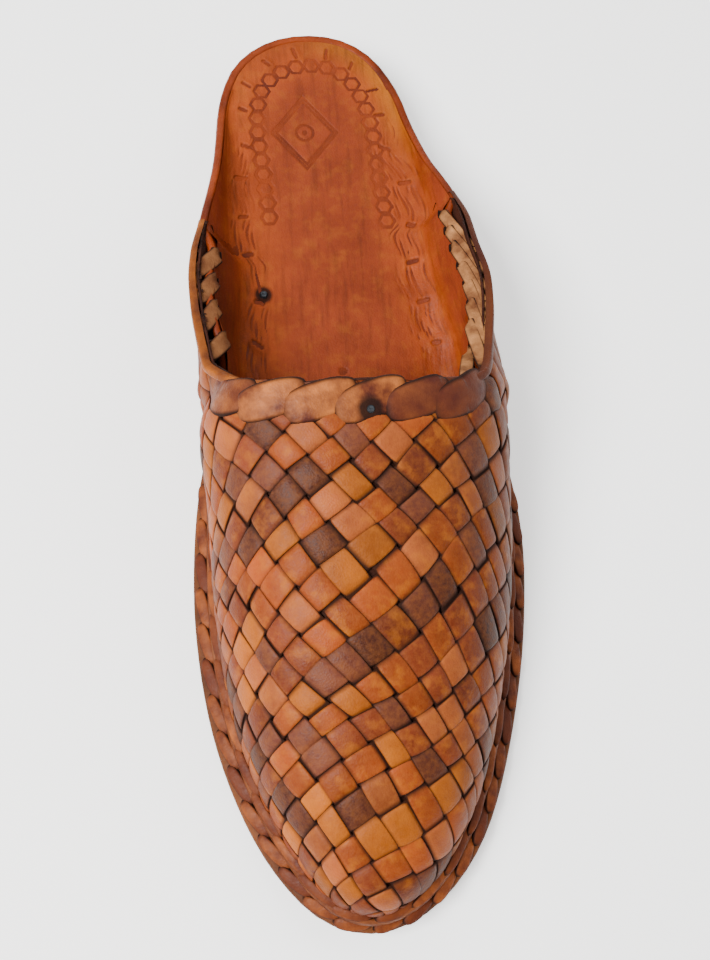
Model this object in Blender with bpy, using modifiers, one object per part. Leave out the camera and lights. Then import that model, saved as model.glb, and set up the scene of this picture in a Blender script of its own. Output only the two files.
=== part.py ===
"""A plaited leather mule for the left foot, empty and standing on its sole.

The toe points along -Y and the outer side of the foot along +X. The origin is the middle of the heel's
ground face. Sizes are named in millimetres, and place() turns them into metres in this frame.
"""

import math
from collections import namedtuple

import bmesh
import bpy
import numpy as np
from mathutils import Matrix, Vector

MM = 0.001
GAP = 0.3  # between pieces that touch

LENGTH = 270.0  # the sole, heel to toe
HEEL_BACK = 29.0  # from the origin back to the end of the heel
LATERAL, MEDIAL = 1, -1  # the outer and the inner side of the foot

OUTSOLE_THICK = 4.5
OUTSOLE_ROUND = 0.7
HEEL_FRONT = 62.0  # from the back of the heel to the breast of the lift
HEEL_LIFT = 8.0
HEEL_INSET = 1.0
HEEL_ROUND, HEEL_ROUNDED_FROM = 0.5, 60  # its small bevel, and the sharpness in degrees that gets it
FOOTBED_THICK = 3.0
WING_THICK = 2.4
WING_START, WING_FALL, WING_END = 20.0, 112.0, 144.0  # where the footbed's turned-up sides rise and end
WING_BELOW_COLLAR = 1.6
WING_CLEARANCE = 3.1  # from the upper's outer face to the wing's outer face
WING_NARROWING = 1.8  # more of that clearance under the vamp, whose walls lean in
WING_TUCK = 5.0  # the wing moves in from the edge of the sole over this length, to lie inside the upper
WING_TUCKED_BY = 5.0  # and it has done so this far behind the upper's end
WING_EASE = 8.0  # the length over which the turned-up side begins and ends
FOLD, FOLD_RISE = 4.5, 0.9  # the curve between the footbed and its turned-up side, and its height to width
EDGE_LIP, LIP_SLOPE = 0.2, 1.4  # the footbed's raised rim, its height and the slope inside it
FOOTBED_ROUND = 0.55
EDGE_LEVELS = (0.25, 0.5, 0.75, 1.0)  # rows up the footbed's outer face, as shares of it
WING_LEVELS = (0.03, 0.35, 0.7)  # rows down the inner face of its turned-up side
UPPER_WALL = 2.6  # two crossing strips
UPPER_BACK = {LATERAL: 76.0, MEDIAL: 87.0}  # where the plaited sides end
VAMP_START = 134.0  # where the side walls have become part of the vamp's arch
VAMP_BLEND = 9.0
THROAT = 138.3  # the middle of the throat, which is also where the crest of the vamp begins
CREST_END = 253.0
CREST_LEAD = 1.3  # how far the crest runs ahead of the edge, as a power
CREST_EASE = 0.1  # the share of the vamp over which its sections take up the fall of the crest
RAND_WIDTH, RAND_HEIGHT = 2.5, 3.8
RAND_THINNEST = 0.5
RAND_LEAN = 1.2  # a little more than the upper's own lean, so the two stay clear of each other
RAND_LOWEST = 0.45  # its height where it is thinnest, as a share of its full height
RAND_BACK = 131.0
# The rand's outline: shares of its width from the outside in, and of its height.
RAND_CORNERS = ((0, 0), (0, 0.5), (0.2, 0.85), (0.5, 1), (0.8, 1), (1, 0.75), (1, 0))
THROAT_TACK_AT = (144.6, 2.8)  # from the heel, across
FOOTBED_TACK_AT = (90.3, -19.0)
TACK_HEAD, TACK_THICK, TACK_SIDES = 2.6, 0.7, 16
OVER_THE_SHOE = 90.0  # a height above every piece

EDGE_STEPS = 24  # points of the smooth edge between two rows of SOLE_EDGE
EDGE_POINTS = 60  # along each side of the sole
RAND_POINTS = 38  # along each side of the rand
ARCH_STEPS = 200
SIDE_SECTIONS, VAMP_SECTIONS, SECTION_POINTS = 20, 25, 13
SIDE_CROWDING, TOE_CROWDING = 1.7, 1.25  # how the sections crowd towards the throat and the toe, as powers
MERGED, CREASED = 0.02, 40  # points closer than this are joined, and edges sharper than this stay sharp

EdgeRow = namedtuple("EdgeRow", "from_heel medial lateral")
SOLE_EDGE = (
    EdgeRow(0.0, 0.0, 0.0),
    EdgeRow(1.6, 10.5, 9.8),
    EdgeRow(6.0, 18.8, 17.2),
    EdgeRow(14.0, 25.8, 23.6),
    EdgeRow(26.0, 29.6, 28.2),
    EdgeRow(42.0, 31.0, 31.3),
    EdgeRow(62.0, 30.6, 33.6),
    EdgeRow(85.0, 29.8, 36.2),
    EdgeRow(108.0, 31.4, 41.0),
    EdgeRow(128.0, 35.6, 47.0),
    EdgeRow(146.0, 39.8, 51.2),
    EdgeRow(164.0, 42.0, 52.8),
    EdgeRow(182.0, 42.6, 51.5),
    EdgeRow(200.0, 41.4, 48.6),
    EdgeRow(217.0, 38.6, 44.4),
    EdgeRow(233.0, 33.9, 39.2),
    EdgeRow(247.0, 27.8, 32.8),
    EdgeRow(258.0, 20.6, 24.6),
    EdgeRow(266.0, 12.2, 14.6),
    EdgeRow(LENGTH, 0.0, 0.0),
)

GroundRow = namedtuple("GroundRow", "from_heel underside")
OUTSOLE_GROUND = (
    GroundRow(0.0, HEEL_LIFT),
    GroundRow(HEEL_FRONT, HEEL_LIFT),
    GroundRow(88.0, 7.3),
    GroundRow(112.0, 4.9),
    GroundRow(136.0, 2.0),
    GroundRow(154.0, 0.5),
    GroundRow(165.0, 0.0),
    GroundRow(206.0, 0.0),
    GroundRow(226.0, 0.6),
    GroundRow(246.0, 1.9),
    GroundRow(260.0, 3.3),
    GroundRow(LENGTH, 4.3),
)

# How far the foot of the upper stands in from the edge of the sole.
InsetRow = namedtuple("InsetRow", "from_heel upper")
UPPER_INSET = (
    InsetRow(0.0, 0.6),
    InsetRow(112.0, 0.8),
    InsetRow(128.0, 2.0),
    InsetRow(142.0, 4.2),
    InsetRow(158.0, 6.0),
    InsetRow(175.0, 6.5),
    InsetRow(250.0, 6.5),
    InsetRow(262.0, 5.6),
    InsetRow(LENGTH, 4.6),
)

# How high each side's top edge stands, from the footbed's turned-up side to the middle of the throat.
CollarRow = namedtuple("CollarRow", "from_heel medial_high lateral_high")
COLLAR = (
    CollarRow(20.0, 16.3, 16.3),
    CollarRow(30.0, 17.0, 17.0),
    CollarRow(40.0, 19.4, 19.4),
    CollarRow(50.0, 22.6, 22.6),
    CollarRow(60.0, 26.2, 26.2),
    CollarRow(72.0, 30.4, 30.4),
    CollarRow(84.0, 34.3, 34.3),
    CollarRow(96.0, 37.7, 37.7),
    CollarRow(108.0, 40.9, 40.9),
    CollarRow(118.0, 43.6, 43.4),
    CollarRow(127.0, 47.2, 46.8),
    CollarRow(131.0, 50.3, 49.4),
    CollarRow(134.0, 54.4, 53.0),
    CollarRow(136.5, 59.2, 57.6),
    CollarRow(THROAT, 62.0, 62.0),
)

# The side walls behind the vamp: how far out their top edge runs, and how it leans. A slope of 90 is
# upright, and more leans out over the sole.
WallRow = namedtuple("WallRow", "from_heel medial_out medial_slope lateral_out lateral_slope")
WALLS = (
    WallRow(20.0, 28.3, 95.0, 26.4, 95.0),
    WallRow(30.0, 30.0, 102.0, 28.6, 102.0),
    WallRow(40.0, 31.1, 108.0, 30.8, 108.0),
    WallRow(50.0, 32.3, 112.0, 33.4, 112.0),
    WallRow(60.0, 34.2, 114.0, 37.1, 113.0),
    WallRow(72.0, 37.0, 115.0, 40.4, 109.0),
    WallRow(84.0, 39.1, 112.0, 41.4, 102.0),
    WallRow(96.0, 40.3, 103.0, 42.9, 92.0),
    WallRow(106.0, 39.9, 92.0, 42.0, 79.0),
    WallRow(116.0, 38.8, 86.0, 40.2, 70.0),
    WallRow(125.0, 37.6, 82.0, 38.2, 62.0),
    WallRow(VAMP_START, 36.4, 76.0, 35.0, 51.0),
)

# The crest of the vamp down to the toe, and the line it would follow behind the throat.
CrestRow = namedtuple("CrestRow", "from_heel across height")
CREST = (
    CrestRow(100.0, -1.5, 71.0),
    CrestRow(120.0, -2.4, 66.6),
    CrestRow(THROAT, -3.0, 62.0),
    CrestRow(155.0, -3.6, 57.8),
    CrestRow(170.0, -4.0, 53.9),
    CrestRow(186.0, -4.2, 49.5),
    CrestRow(202.0, -4.0, 44.9),
    CrestRow(217.0, -3.4, 40.4),
    CrestRow(231.0, -2.6, 35.9),
    CrestRow(243.0, -1.8, 31.6),
    CrestRow(CREST_END, -0.9, 27.6),
)

# How the walls rise from the sole: the lean outwards in degrees, and how full the curve over to the
# crest or collar is. A fullness of 0.55 is an ellipse.
RiseRow = namedtuple("RiseRow", "from_heel medial_lean lateral_lean medial_full lateral_full")
RISE = (
    RiseRow(20.0, 12.0, 12.0, 0.34, 0.34),
    RiseRow(60.0, 20.0, 17.0, 0.34, 0.34),
    RiseRow(90.0, 26.0, 20.0, 0.36, 0.36),
    RiseRow(106.0, 29.0, 24.0, 0.42, 0.44),
    RiseRow(118.0, 21.0, 18.0, 0.46, 0.56),
    RiseRow(129.0, 17.0, 11.0, 0.64, 0.63),
    RiseRow(THROAT, 19.0, 9.0, 0.78, 0.66),
    RiseRow(158.0, 14.5, 7.0, 0.69, 0.60),
    RiseRow(200.0, 9.0, 6.0, 0.60, 0.57),
    RiseRow(240.0, 8.0, 8.0, 0.58, 0.57),
    RiseRow(LENGTH, 8.0, 8.0, 0.56, 0.56),
)


def place(from_heel, across, height):
    """A point in metres in the object's frame, from millimetres along, across and up."""
    return Vector((across, HEEL_BACK - from_heel, height)) * MM


def smooth(rows, column, at):
    """A table's column at some distance from the heel, by a curve that never overshoots its rows."""
    x = np.array([row.from_heel for row in rows])
    y = np.array([getattr(row, column) for row in rows])
    run = np.diff(x)
    rate = np.diff(y) / run
    slope = np.concatenate([rate[:1], np.zeros(len(rate) - 1), rate[-1:]])
    for i in np.flatnonzero(rate[:-1] * rate[1:] > 0):
        before, after = 2 * run[i + 1] + run[i], run[i + 1] + 2 * run[i]
        slope[i + 1] = (before + after) / (before / rate[i] + after / rate[i + 1])
    at = np.clip(at, x[0], x[-1])
    i = np.clip(np.searchsorted(x, at) - 1, 0, len(run) - 1)
    t = (at - x[i]) / run[i]
    rise = y[i] * (1 + 2 * t) * (1 - t) ** 2 + y[i + 1] * t * t * (3 - 2 * t)
    return rise + run[i] * t * (1 - t) * (slope[i] * (1 - t) - slope[i + 1] * t)


def ramp(value, start, end):
    """0 before start, 1 after end, and an easy curve between."""
    t = np.clip((value - start) / (end - start), 0.0, 1.0)
    return t * t * (3 - 2 * t)


def closed_curve(points, steps):
    """Points along the smooth closed curve through some points, steps of them to each span."""
    points = np.asarray(points, float)
    span = np.linalg.norm(np.roll(points, -1, 0) - points, axis=1)
    before = np.roll(span, 1)
    count = len(points)
    equations = np.diag(2 / before + 2 / span)
    rows = np.arange(count)
    equations[rows, (rows + 1) % count] += 1 / span
    equations[rows, rows - 1] += 1 / before
    ahead = (np.roll(points, -1, 0) - points) / span[:, None] ** 2
    tangents = np.linalg.solve(equations, 3 * (ahead + np.roll(ahead, 1, 0)))
    made = []
    for i in range(count):
        j = (i + 1) % count
        for t in np.arange(steps) / steps:
            held = points[i] * (1 + 2 * t) * (1 - t) ** 2 + points[j] * t * t * (3 - 2 * t)
            made.append(held + span[i] * t * (1 - t) * (tangents[i] * (1 - t) - tangents[j] * t))
    return np.array(made)


def sole_edges():
    """Each side's edge as (distances from the toe, points as (from heel, across), outward normals)."""
    lateral = [(row.from_heel, row.lateral) for row in reversed(SOLE_EDGE)]
    medial = [(row.from_heel, -row.medial) for row in SOLE_EDGE[1:-1]]
    loop = closed_curve(lateral + medial, EDGE_STEPS)
    half = (len(SOLE_EDGE) - 1) * EDGE_STEPS
    loop = np.vstack([loop, loop[:1]])
    ahead = np.gradient(loop, axis=0)
    ahead[0] = ahead[-1] = (0.0, 1.0)
    ahead[half] = (0.0, -1.0)
    ahead /= np.linalg.norm(ahead, axis=1)[:, None]
    normals = np.stack([ahead[:, 1], -ahead[:, 0]], axis=1)
    found = {}
    for side, points, normal in (
        (LATERAL, loop[: half + 1], normals[: half + 1]),
        (MEDIAL, loop[half:][::-1], normals[half:][::-1]),
    ):
        steps = np.linalg.norm(np.diff(points, axis=0), axis=1)
        found[side] = (np.concatenate([[0.0], np.cumsum(steps)]), points, normal)
    return found


EDGES = sole_edges()


def edge_point(side, run, inset):
    """(from heel, across) at a distance along one side's edge from the toe, moved in from the edge."""
    runs, points, normals = EDGES[side]
    point = [np.interp(run, runs, points[:, i]) for i in (0, 1)]
    normal = [np.interp(run, runs, normals[:, i]) for i in (0, 1)]
    return np.array(point) - inset * np.array(normal) / np.linalg.norm(normal)


def run_at(side, from_heel):
    """The distance along one side's edge from the toe to where it is so far from the heel."""
    runs, points, _ = EDGES[side]
    return np.interp(-from_heel, -points[:, 0], runs)


def outsole_top(from_heel):
    return smooth(OUTSOLE_GROUND, "underside", from_heel) + OUTSOLE_THICK


def floor_height(from_heel):
    """The top face of the footbed."""
    return outsole_top(from_heel) + GAP + FOOTBED_THICK


def named(side, name):
    return ("lateral_" if side == LATERAL else "medial_") + name


def wall_curve(side, from_heel, inward, height, slope, shares):
    """The rise of a wall, as (inward, up) points at shares of the way from its foot to its top.

    It leaves the sole at the lean of RISE, and arrives at a slope in degrees: 0 runs level inwards,
    90 straight up.
    """
    lean = math.radians(smooth(RISE, named(side, "lean"), from_heel))
    full = smooth(RISE, named(side, "full"), from_heel)
    angle = math.radians(slope)
    arrive = np.array([math.cos(angle), math.sin(angle)])
    reach = full * (abs(inward * arrive[0]) + abs(height * arrive[1]))
    foot, top = np.zeros(2), np.array([inward, height])
    leave = foot + full * height * np.array([-math.tan(lean), 1.0])
    before = top - reach * arrive
    t = np.asarray(shares)[:, None]
    return foot * (1 - t) ** 3 + leave * 3 * t * (1 - t) ** 2 + before * 3 * t * t * (1 - t) + top * t**3


def upper_foot(side, run):
    """(from_heel, across, height) of the foot of the upper's outer face."""
    from_heel = edge_point(side, run, 0.0)[0]
    foot = edge_point(side, run, smooth(UPPER_INSET, "upper", from_heel))
    return np.array([foot[0], foot[1], outsole_top(foot[0]) + GAP])


def side_wall(side, from_heel, foot, rise, shares):
    """(inward, up) points of an upright side wall behind the vamp."""
    inward = side * foot[1] - smooth(WALLS, named(side, "out"), from_heel)
    slope = smooth(WALLS, named(side, "slope"), from_heel)
    return wall_curve(side, from_heel, inward, rise, slope, shares)


def cut_arch(side, from_heel, foot, rise, shares):
    """(inward, up) points of the vamp's arch, cut off at the height of the collar."""
    inward = side * (foot[1] - smooth(CREST, "across", from_heel))
    crest = smooth(CREST, "height", from_heel) - foot[2]
    steps = np.linspace(0, 1, ARCH_STEPS)
    end = np.interp(rise, wall_curve(side, from_heel, inward, crest, 0.0, steps)[:, 1], steps)
    return wall_curve(side, from_heel, inward, crest, 0.0, np.asarray(shares) * end)


def side_section(side, from_heel):
    """The upper's outer face at one crosswise section behind the throat, foot to collar."""
    foot = upper_foot(side, run_at(side, from_heel))
    rise = smooth(COLLAR, named(side, "high"), from_heel) - foot[2]
    shares = np.linspace(0, 1, SECTION_POINTS)
    arched = ramp(from_heel, VAMP_START - VAMP_BLEND, VAMP_START)
    curve = side_wall(side, from_heel, foot, rise, shares) * (1 - arched)
    curve += cut_arch(side, from_heel, foot, rise, shares) * arched
    ahead = from_heel - foot[0]
    return [
        foot + np.array([ahead * share, -side * along, up])
        for share, (along, up) in zip(shares, curve)
    ]


def vamp_section(side, share):
    """The vamp's outer face from its foot to the crest, at a share of the way from throat to toe."""
    foot = upper_foot(side, run_at(side, THROAT) * (1 - share))
    from_heel = THROAT + (CREST_END - THROAT) * (1 - (1 - share) ** CREST_LEAD)
    crest = np.array(
        [from_heel, smooth(CREST, "across", from_heel), smooth(CREST, "height", from_heel)]
    )
    inward = np.linalg.norm((crest - foot)[:2])
    along = (crest - foot)[:2] / inward
    fall = (smooth(CREST, "height", from_heel + 1) - smooth(CREST, "height", from_heel - 1)) / 2
    if share == 1:
        fall = smooth(CREST, "height", CREST_END) - smooth(CREST, "height", CREST_END - 1)
    slope = math.degrees(math.atan(fall * along[0])) * ramp(share, 0.0, CREST_EASE)
    shares = np.linspace(0, 1, SECTION_POINTS)
    curve = wall_curve(side, foot[0], inward, crest[2] - foot[2], slope, shares)
    return [foot + np.array([*(along * step), up]) for step, up in curve]


def grid(mesh, rows):
    """Quads between neighbouring rows of points."""
    made = [[mesh.verts.new(place(*point)) for point in row] for row in rows]
    for row, following in zip(made, made[1:]):
        for i in range(len(row) - 1):
            mesh.faces.new((row[i], following[i], following[i + 1], row[i + 1]))
    return made


def skin(mesh, rings):
    """Quads between neighbouring rings of points, and rungs from side to side over both end rings.

    A ring starts at the toe, runs back along the outer side and forward again along the inner one.
    """
    made = [[mesh.verts.new(place(*point)) for point in ring] for ring in rings]
    count = len(made[0])
    for ring, following in zip(made, made[1:]):
        for i in range(count):
            j = (i + 1) % count
            mesh.faces.new((ring[i], ring[j], following[j], following[i]))
    for ring in (made[0], made[-1]):
        for i in range(count // 2):
            corners = (ring[i], ring[i + 1], ring[count - i - 1], ring[-i])
            mesh.faces.new(list(dict.fromkeys(corners)))


def around():
    """(side, distance from the toe) for each point round the sole, in the order of a ring."""
    stations = []
    for side in (LATERAL, MEDIAL):
        whole = EDGES[side][0][-1]
        runs = [(side, whole * i / EDGE_POINTS) for i in range(EDGE_POINTS + 1)]
        stations += runs[:-1] if side == LATERAL else runs[:0:-1]
    return stations


def finished(mesh, name, material, collection):
    """The bmesh as a named object, smooth-shaded, with its faces pointing out."""
    bmesh.ops.remove_doubles(mesh, verts=mesh.verts, dist=MERGED * MM)
    bmesh.ops.recalc_face_normals(mesh, faces=mesh.faces)
    data = bpy.data.meshes.new(name)
    mesh.to_mesh(data)
    mesh.free()
    data.shade_smooth()
    data.set_sharp_from_angle(angle=math.radians(CREASED))
    data.materials.append(material)
    made = bpy.data.objects.new(name, data)
    collection.objects.link(made)
    return made


def leather(name, colour, roughness, metallic=0.0):
    """A plain material in a linear colour."""
    material = bpy.data.materials.new(name)
    material.use_nodes = True
    shader = material.node_tree.nodes["Principled BSDF"]
    shader.inputs["Base Color"].default_value = (*colour, 1.0)
    shader.inputs["Roughness"].default_value = roughness
    shader.inputs["Metallic"].default_value = metallic
    return material


def build_outsole(collection):
    """The flat leather sole, raised over the heel lift, with toe spring."""
    levels = (
        (OUTSOLE_ROUND, 0.0),
        (0.0, OUTSOLE_ROUND),
        (0.0, OUTSOLE_THICK - OUTSOLE_ROUND),
        (OUTSOLE_ROUND, OUTSOLE_THICK),
    )
    rings = []
    for inset, up in levels:
        ring = []
        for side, run in around():
            point = edge_point(side, run, inset)
            ring.append((*point, smooth(OUTSOLE_GROUND, "underside", point[0]) + up))
        rings.append(ring)
    mesh = bmesh.new()
    skin(mesh, rings)
    return finished(mesh, "outsole", leather("sole leather", (0.19, 0.08, 0.035), 0.6), collection)


def build_heel(collection):
    """The stacked lift under the heel seat, cut straight across at its breast."""
    flat = HEEL_LIFT - GAP
    outline = []
    for side, run in around():
        point = edge_point(side, run, HEEL_INSET)
        if point[0] < HEEL_FRONT:
            outline.append(point)
    mesh = bmesh.new()
    face = mesh.faces.new([mesh.verts.new(place(*point, 0.0)) for point in outline])
    raised = bmesh.ops.extrude_face_region(mesh, geom=[face])["geom"]
    tops = [part for part in raised if isinstance(part, bmesh.types.BMVert)]
    bmesh.ops.translate(mesh, verts=tops, vec=(0, 0, flat * MM))
    made = finished(mesh, "heel", leather("heel leather", (0.11, 0.05, 0.025), 0.6), collection)
    rounding = made.modifiers.new("rounded edges", "BEVEL")
    rounding.width = HEEL_ROUND * MM
    rounding.segments = 1
    rounding.limit_method = "ANGLE"
    rounding.angle_limit = math.radians(HEEL_ROUNDED_FROM)
    return made


def wall_outwards(side, from_heel, height):
    """How far the side wall stands outside its own foot at a height above that foot."""
    held = min(max(from_heel, WING_START), WING_END - WING_EASE)
    section = np.array(side_section(side, held))
    outwards = side * (section[:, 1] - section[0, 1])
    stands = ramp(from_heel, WING_START, WING_START + WING_EASE)
    stands *= 1 - ramp(from_heel, WING_FALL + WING_EASE, WING_END)
    return stands * np.interp(height, section[:, 2] - section[0, 2], outwards)


def tucked(side, from_heel):
    """0 where the footbed's turned-up side is bare, and 1 where it stands inside the upper."""
    end = UPPER_BACK[side] - WING_TUCKED_BY
    return ramp(from_heel, end - WING_TUCK, end)


def wing_height(side, from_heel):
    """How far the footbed's turned-up side rises above the footbed."""
    if not WING_START < from_heel < WING_END:
        return 0.0
    held = min(from_heel, WING_FALL)
    below = WING_BELOW_COLLAR * tucked(side, from_heel)
    rise = smooth(COLLAR, named(side, "high"), held) - below - floor_height(held)
    return max(0.0, rise) * (1 - ramp(from_heel, WING_FALL, WING_END))


def footbed_section(side, run):
    """The footbed's edge at one place, from its underside round the top of the wing to its floor."""
    from_heel = edge_point(side, run, 0.0)[0]
    clear = WING_CLEARANCE * tucked(side, from_heel)
    clear += WING_NARROWING * ramp(from_heel, WING_FALL - WING_EASE, WING_FALL + WING_EASE)
    inset = smooth(UPPER_INSET, "upper", from_heel) + clear
    wing = wing_height(side, from_heel)
    fold = min(FOLD, wing)
    top = FOOTBED_THICK + EDGE_LIP + wing

    def at(inward, up):
        outwards = wall_outwards(side, from_heel, up)
        point = edge_point(side, run, inset + inward - outwards)
        return (*point, outsole_top(point[0]) + GAP + up)

    soft = FOOTBED_ROUND
    points = [at(WING_THICK, 0.0), at(soft, 0.0), at(0.0, soft)]
    points += [at(0.0, soft + (top - 2 * soft) * share) for share in EDGE_LEVELS]
    points += [at(soft, top), at(WING_THICK - soft, top)]
    start = FOOTBED_THICK + EDGE_LIP / 2 + FOLD_RISE * fold
    points += [at(WING_THICK, top - EDGE_LIP / 2 + (start - top) * share) for share in WING_LEVELS]
    for angle in np.radians((0, 30, 60, 90)):
        inward = WING_THICK + EDGE_LIP + (LIP_SLOPE + fold) * (1 - math.cos(angle))
        points.append(at(inward, start - (start - FOOTBED_THICK) * math.sin(angle)))
    return points


def build_footbed(collection):
    """The leather insole, with its sides turned up along the waist."""
    rings = zip(*[footbed_section(side, run) for side, run in around()])
    mesh = bmesh.new()
    skin(mesh, list(rings))
    return finished(mesh, "footbed", leather("footbed leather", (0.52, 0.17, 0.045), 0.45), collection)


def build_upper(collection):
    """The plaited vamp with its two sides, as one wall open at the throat and underneath."""
    mesh = bmesh.new()
    for side in (LATERAL, MEDIAL):
        back = UPPER_BACK[side]
        ease = 1 - (1 - np.linspace(0, 1, SIDE_SECTIONS)) ** SIDE_CROWDING
        rows = [side_section(side, back + (THROAT - back) * share) for share in ease[:-1]]
        ease = 1 - (1 - np.linspace(0, 1, VAMP_SECTIONS)) ** TOE_CROWDING
        rows += [vamp_section(side, share) for share in ease]
        grid(mesh, rows)
    made = finished(mesh, "upper", leather("plaited leather", (0.40, 0.15, 0.05), 0.45), collection)
    wall = made.modifiers.new("wall", "SOLIDIFY")
    wall.thickness = UPPER_WALL * MM
    wall.offset = -1
    return made


def rand_section(side, run):
    """The rand's own outline at one place: a low band against the foot of the upper."""
    from_heel = edge_point(side, run, 0.0)[0]
    inner = smooth(UPPER_INSET, "upper", from_heel) - GAP
    outer = max(RAND_THINNEST, inner - RAND_WIDTH)
    width = inner - outer
    high = RAND_HEIGHT * (RAND_LOWEST + (1 - RAND_LOWEST) * ramp(width, RAND_THINNEST, RAND_WIDTH))
    lean = math.tan(math.radians(smooth(RISE, named(side, "lean"), from_heel)))

    def at(share, up):
        with_upper = RAND_LEAN * lean * up * high * share
        point = edge_point(side, run, outer + width * share - with_upper)
        return (*point, outsole_top(point[0]) + GAP + up * high)

    return [at(*corner) for corner in RAND_CORNERS]


def build_rand(collection):
    """The smooth leather band round the forefoot, against the foot of the upper."""
    rows = []
    for side in (LATERAL, MEDIAL):
        runs = np.linspace(run_at(side, RAND_BACK), 0, RAND_POINTS)
        found = [rand_section(side, run) for run in runs]
        rows += found[:-1] if side == LATERAL else found[::-1]
    mesh = bmesh.new()
    made = grid(mesh, [row + row[:1] for row in rows])
    for row in (made[0], made[-1]):
        mesh.faces.new(row[:-1])
    return finished(mesh, "rand", leather("rand leather", (0.20, 0.08, 0.05), 0.5), collection)


def tack(name, centre, normal, collection):
    """A small flat iron nail head, lying just clear of the leather."""
    mesh = bmesh.new()
    bmesh.ops.create_cone(
        mesh,
        cap_ends=True,
        segments=TACK_SIDES,
        radius1=TACK_HEAD / 2 * MM,
        radius2=TACK_HEAD / 3 * MM,
        depth=TACK_THICK * MM,
    )
    turned = normal.to_track_quat("Z", "Y").to_matrix().to_4x4()
    middle = centre + normal * (GAP + TACK_THICK / 2) * MM
    bmesh.ops.transform(mesh, matrix=Matrix.Translation(middle) @ turned, verts=mesh.verts)
    return finished(mesh, name, leather(name + " iron", (0.05, 0.055, 0.07), 0.5, 0.8), collection)


def build_throat_tack(upper, collection):
    """The nail through the binding in the middle of the throat."""
    from_heel, across = THROAT_TACK_AT
    above = place(from_heel, across, OVER_THE_SHOE)
    graph = bpy.context.evaluated_depsgraph_get()
    _, centre, normal, _ = upper.evaluated_get(graph).ray_cast(above, Vector((0, 0, -1)))
    return tack("throat_tack", centre, normal, collection)


def build_footbed_tack(collection):
    """The nail that holds the inner side of the footbed down at the waist."""
    from_heel, across = FOOTBED_TACK_AT
    slope = floor_height(from_heel + 1) - floor_height(from_heel - 1)
    normal = Vector((0, slope / 2, 1)).normalized()
    return tack("footbed_tack", place(from_heel, across, floor_height(from_heel)), normal, collection)


def main():
    for old in list(bpy.data.objects):
        bpy.data.objects.remove(old, do_unlink=True)
    collection = bpy.data.collections.new("woven mule")
    bpy.context.scene.collection.children.link(collection)
    build_outsole(collection)
    build_heel(collection)
    build_footbed(collection)
    upper = build_upper(collection)
    build_rand(collection)
    bpy.context.view_layer.update()
    build_throat_tack(upper, collection)
    build_footbed_tack(collection)


main()
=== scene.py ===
"""A plaited leather mule for the left foot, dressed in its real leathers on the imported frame.

Lengths are in millimetres until the last step, which turns them into metres. A place on the shoe is
given as (from heel, across, height): the distance from the back of the heel towards the toe, the
distance from the middle towards the outer side of the foot, and the height above the ground.
"""

import logging
import math
from collections.abc import Callable
from dataclasses import dataclass, field
from enum import Enum
from typing import NamedTuple

import bmesh
import bpy
import numpy as np
from mathutils import Matrix, Vector


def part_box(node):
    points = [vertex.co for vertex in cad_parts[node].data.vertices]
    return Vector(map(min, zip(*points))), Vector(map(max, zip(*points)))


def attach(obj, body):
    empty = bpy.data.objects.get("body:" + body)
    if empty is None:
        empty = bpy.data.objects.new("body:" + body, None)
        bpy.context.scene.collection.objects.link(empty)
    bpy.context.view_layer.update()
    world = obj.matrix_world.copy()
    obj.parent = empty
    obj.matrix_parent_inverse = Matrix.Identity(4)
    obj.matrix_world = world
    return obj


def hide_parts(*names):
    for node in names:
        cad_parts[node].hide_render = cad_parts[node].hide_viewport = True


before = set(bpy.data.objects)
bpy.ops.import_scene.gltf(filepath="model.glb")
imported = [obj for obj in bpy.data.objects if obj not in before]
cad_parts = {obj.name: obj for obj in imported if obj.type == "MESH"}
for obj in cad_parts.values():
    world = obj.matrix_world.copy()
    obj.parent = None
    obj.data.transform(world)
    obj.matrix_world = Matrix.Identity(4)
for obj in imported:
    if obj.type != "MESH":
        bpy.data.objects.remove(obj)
log = logging.getLogger("woven mule")

MM = 0.001

Triple = tuple[float, float, float]
Colour = tuple[float, float, float, float]


class Side(Enum):
    """The outer and the inner side of the foot, as the sign of the across direction."""

    LATERAL = 1
    MEDIAL = -1

    def column(self, name: str) -> str:
        """A table column's name on this side."""
        return f"{self.name.lower()}_{name}"


class Dye(Enum):
    """The colours that the plaiting leather was dyed before it was cut into strips."""

    GOLDEN = "#8E480C"
    TAN = "#8E4720"
    ORANGE = "#80360C"
    RUSSET = "#622711"
    MAUVE = "#542A1E"
    CHOCOLATE = "#3A1A12"


# ---------------------------------------------------------------------------------------------------
# Sizes of the shoe, the same as the frame's own
# ---------------------------------------------------------------------------------------------------

LENGTH = 270.0
HEEL_BACK = 29.0
OUTSOLE_THICK = 4.5
HEEL_LIFT = 8.0
HEEL_FRONT = 62.0
FOOTBED_THICK = 3.0
GAP = 0.3
THROAT = 138.3
CREST_END = 253.0
CREST_LEAD = 1.3  # how far the crest runs ahead of the edge, as a power
CREST_EASE = 0.1  # the share of the vamp over which its sections take up the fall of the crest
CREST_SLANT = 1.03  # behind the throat, the unrolled upper's millimetres for each one along the shoe
BESIDE_THROAT = 0.05  # the sections nearest the throat stand this far from it
VAMP_START, VAMP_BLEND = 134.0, 9.0
UPPER_BACK = {Side.LATERAL: 76.0, Side.MEDIAL: 87.0}
WING_START, WING_FALL, WING_END, WING_EASE = 20.0, 112.0, 144.0, 8.0
WING_THICK, WING_BELOW_COLLAR = 2.4, 1.6
WING_TUCK, WING_TUCKED_BY = 5.0, 5.0
WING_CLEARANCE, WING_NARROWING = 3.1, 1.8
LAP = 12.0  # how far the plait's sides run on over the footbed's turned-up sides
FOLD, FOLD_RISE = 4.5, 0.9  # the round fold at the foot of a turned-up side, and its rise for its width


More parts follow.
